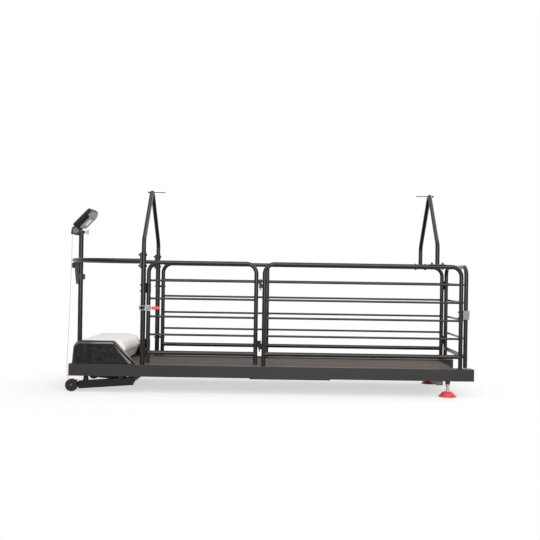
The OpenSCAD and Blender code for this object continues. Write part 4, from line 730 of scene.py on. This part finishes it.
def sign_figure(sides):
    """A flat figure of so many equal sides."""
    deselect()
    bpy.ops.mesh.primitive_cylinder_add(vertices=sides, radius=sign_r, depth=sign_t, location=(0, 0, 0),
                                        rotation=(0, 0, math.pi / sides))
    soften(lambda edge: all(v.co.z > 0 for v in edge.verts), 0.0002, 2)
    return bpy.context.object


def sign_bar(length, width):
    """A flat bar, length along the head's slope."""
    deselect()
    bpy.ops.mesh.primitive_cube_add(size=1, location=(0, 0, 0), scale=(length, width, sign_t))
    bpy.ops.object.transform_apply(location=False, rotation=False, scale=True)
    soften(lambda edge: all(v.co.z > 0 for v in edge.verts), 0.0002, 2)
    return bpy.context.object


def key_sign(key, *parts):
    """Joins figures or bars to one raised sign on a key."""
    deselect()
    for part in parts:
        part.location = (key_u, key_y[key], key_face + sign_t / 2)
        part.select_set(True)
    bpy.context.view_layer.objects.active = parts[0]
    bpy.ops.object.transform_apply(location=True, rotation=True, scale=True)
    if len(parts) > 1:
        bpy.ops.object.join()
    sign = bpy.context.view_layer.objects.active
    sign.location = neck
    sign.rotation_euler = (0, -head_slope, 0)
    settle(sign, key + "_sign", key, sign_paint)


key_sign("key_start", sign_figure(3))
key_sign("key_stop", sign_figure(4))
key_sign("key_faster", sign_bar(sign_l, sign_w), sign_bar(sign_w, sign_l))
key_sign("key_slower", sign_bar(sign_w, sign_l))


# Safety key, cord and clip
# A dark red plug in the neck's front, with a thin braided cord tied into it. The cord hangs in front of the
# mast, bends over on the floor and ends in a red spring clip to hook on a belt.
safety_red = Finish("safety_red_plastic")
safety_cloud = safety_red.noise(80, 3)
safety_red_tone = safety_red.blend(safety_cloud, shade(196, 30, 34), shade(222, 54, 54))
safety_red.look(safety_red_tone, 0.36 + 0.15 * safety_cloud, 0.00005 * safety_red.noise(900, 2))
safety_red.dress("safety_clip")

key_plug = Finish("safety_key_dark_red")
key_plug_cloud = key_plug.noise(80, 3)
key_plug_tone = key_plug.blend(key_plug_cloud, shade(66, 16, 18), shade(92, 26, 28))
key_plug.look(key_plug_tone, 0.4 + 0.15 * key_plug_cloud)
key_plug.dress("safety_key")

cord_points_mm = [
    (-1236, 0, 946), (-1236, 0, 940), (-1236, 0, 930), (-1236, 0, 900), (-1237, 0, 850), (-1238, 0, 780),
    (-1240, 0, 700), (-1242, 0, 610), (-1244, 0, 520), (-1247, 0, 430), (-1250, 0, 340), (-1253, 0, 260),
    (-1256, 0, 190), (-1258, 1, 140), (-1259, 4, 100), (-1258, 12, 65), (-1256, 26, 38), (-1253, 46, 18),
    (-1249, 72, 7), (-1245, 100, 3), (-1241, 128, 2), (-1238, 154, 2), (-1236, 172, 2),
]
cord_d = 0.0025
cord_steps = 3


def smooth_route(points, steps):
    """Points on the curve that passes through a route, steps to each stretch."""
    last = len(points) - 1
    route = []
    for i in range(last):
        p0 = points[max(i - 1, 0)]
        p1 = points[i]
        p2 = points[i + 1]
        p3 = points[min(i + 2, last)]
        for k in range(steps):
            t = k / steps
            route.append(tuple(
                0.5 * (2 * b + (c - a) * t + (2 * a - 5 * b + 4 * c - d) * t * t
                       + (3 * b - a - 3 * c + d) * t ** 3)
                for a, b, c, d in zip(p0, p1, p2, p3)))
    route.append(points[last])
    return route


cord_route = [tuple(v / 1000 for v in p) for p in smooth_route(cord_points_mm, cord_steps)]
cord_curve = bpy.data.curves.new("safety_cord_braid", "CURVE")
cord_curve.dimensions = "3D"
cord_curve.bevel_depth = cord_d / 2
cord_curve.bevel_resolution = 3
cord_curve.use_fill_caps = True
cord_line = cord_curve.splines.new("POLY")
cord_line.points.add(len(cord_route) - 1)
for point, place in zip(cord_line.points, cord_route):
    point.co = (*place, 1)
safety_cord = bpy.data.objects.new("safety_cord_braid", cord_curve)
bpy.context.collection.objects.link(safety_cord)
cord_braid = Finish("cord_red_braid")
braid_strand = cord_braid.waves(400, "Z")
braid_fleck = cord_braid.noise(1600, 2)
cord_braid_tone = cord_braid.blend(braid_strand, shade(196, 74, 78), shade(232, 150, 150))
cord_braid.look(cord_braid_tone, 0.7 + 0.15 * braid_fleck, 0.0002 * braid_strand)
cord_curve.materials.append(cord_braid.material)
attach(safety_cord, "safety_key")
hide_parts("safety_cord")


# Floor and light
# A plain white floor that fades into a white room. The light comes from a large soft lamp in front, one above
# and a weak one behind.
bpy.ops.mesh.primitive_plane_add(size=60, location=(0, 0, 0))
floor = bpy.context.object
floor.name = "floor"
paper = Finish("studio_paper")
paper_cloud = paper.noise(3, 2)
paper.look(paper.blend(paper_cloud, (0.9, 0.9, 0.9, 1), (0.92, 0.92, 0.92, 1)), 0.9)
paper_far = paper.add("ShaderNodeVectorMath", {"operation": "LENGTH"}, {0: paper.place}, "Value")
seen = paper.add("ShaderNodeLightPath", output="Is Camera Ray")
mirrored = paper.add("ShaderNodeLightPath", output="Is Glossy Ray")
through = paper.add("ShaderNodeLightPath", output="Is Transmission Ray")
seen = paper.sum("MAXIMUM", paper.sum("MAXIMUM", seen, mirrored), through)
white_near = 0.6
white_from = 1.15
white_full = 1.8
white_share = (white_near + (1 - white_near) * paper.ease(paper_far, white_from, white_full)) * seen
glow = paper.add("ShaderNodeEmission", None, {"Color": (1, 1, 1, 1), "Strength": 1.0})
whole = paper.add("ShaderNodeMixShader", None,
                  {0: white_share, 1: Value(paper, paper.shader.outputs[0]), 2: glow})
paper.feed(paper.tree.nodes["Material Output"].inputs["Surface"], whole)
floor.data.materials.append(paper.material)

lamps = [
    ("top_lamp", (0.3, -1.2, 4.6), (math.radians(14), 0, 0), 4.5, 120),
    ("front_lamp", (0.5, -6.6, 2.6), (math.radians(72), 0, math.radians(4)), 5.0, 420),
    ("rear_lamp", (3.8, 2.6, 3.2), (math.radians(56), 0, math.radians(124)), 3.0, 90),
]
for name, place, turn, size, power in lamps:
    bpy.ops.object.light_add(type="AREA", location=place, rotation=turn)
    lamp = bpy.context.object
    lamp.name = name
    lamp.data.size = size
    lamp.data.energy = power

world = bpy.data.worlds.new("studio")
bpy.context.scene.world = world
world.use_nodes = True
room = world.node_tree
room_light = room.nodes["Background"]
room_light.inputs["Color"].default_value = (0.95, 0.95, 0.96, 1)
room_light.inputs["Strength"].default_value = 0.25
room_white = room.nodes.new("ShaderNodeBackground")
room_white.inputs["Color"].default_value = (1, 1, 1, 1)
room_white.inputs["Strength"].default_value = 1.0
room_path = room.nodes.new("ShaderNodeLightPath")
room_mix = room.nodes.new("ShaderNodeMixShader")
room_seen = room_path.outputs["Is Camera Ray"]
for ray in ("Is Glossy Ray", "Is Transmission Ray"):
    either = room.nodes.new("ShaderNodeMath")
    either.operation = "MAXIMUM"
    room.links.new(room_seen, either.inputs[0])
    room.links.new(room_path.outputs[ray], either.inputs[1])
    room_seen = either.outputs[0]
room.links.new(room_seen, room_mix.inputs[0])
room.links.new(room_light.outputs[0], room_mix.inputs[1])
room.links.new(room_white.outputs[0], room_mix.inputs[2])
room.links.new(room_mix.outputs[0], room.nodes["World Output"].inputs["Surface"])
bpy.context.scene.view_settings.view_transform = "Standard"


# Camera
# Stands a little lower than the pen's top, square to the near side, and is rolled by about a degree. Its lens
# and its small shifts were recovered from the pen's perspective.
photo_px = 540
focal_px = 926
sensor_mm = 36
shift_px = (-9, 4)
camera_data = bpy.data.cameras.new("camera")
camera = bpy.data.objects.new("camera", camera_data)
bpy.context.collection.objects.link(camera)
camera.location = (0.071, -5.84, 0.715)
camera.rotation_euler = (math.radians(90), math.radians(-0.88), 0)
camera_data.sensor_width = sensor_mm
camera_data.lens = sensor_mm * focal_px / photo_px
camera_data.shift_x = shift_px[0] / photo_px
camera_data.shift_y = shift_px[1] / photo_px
bpy.context.scene.camera = camera
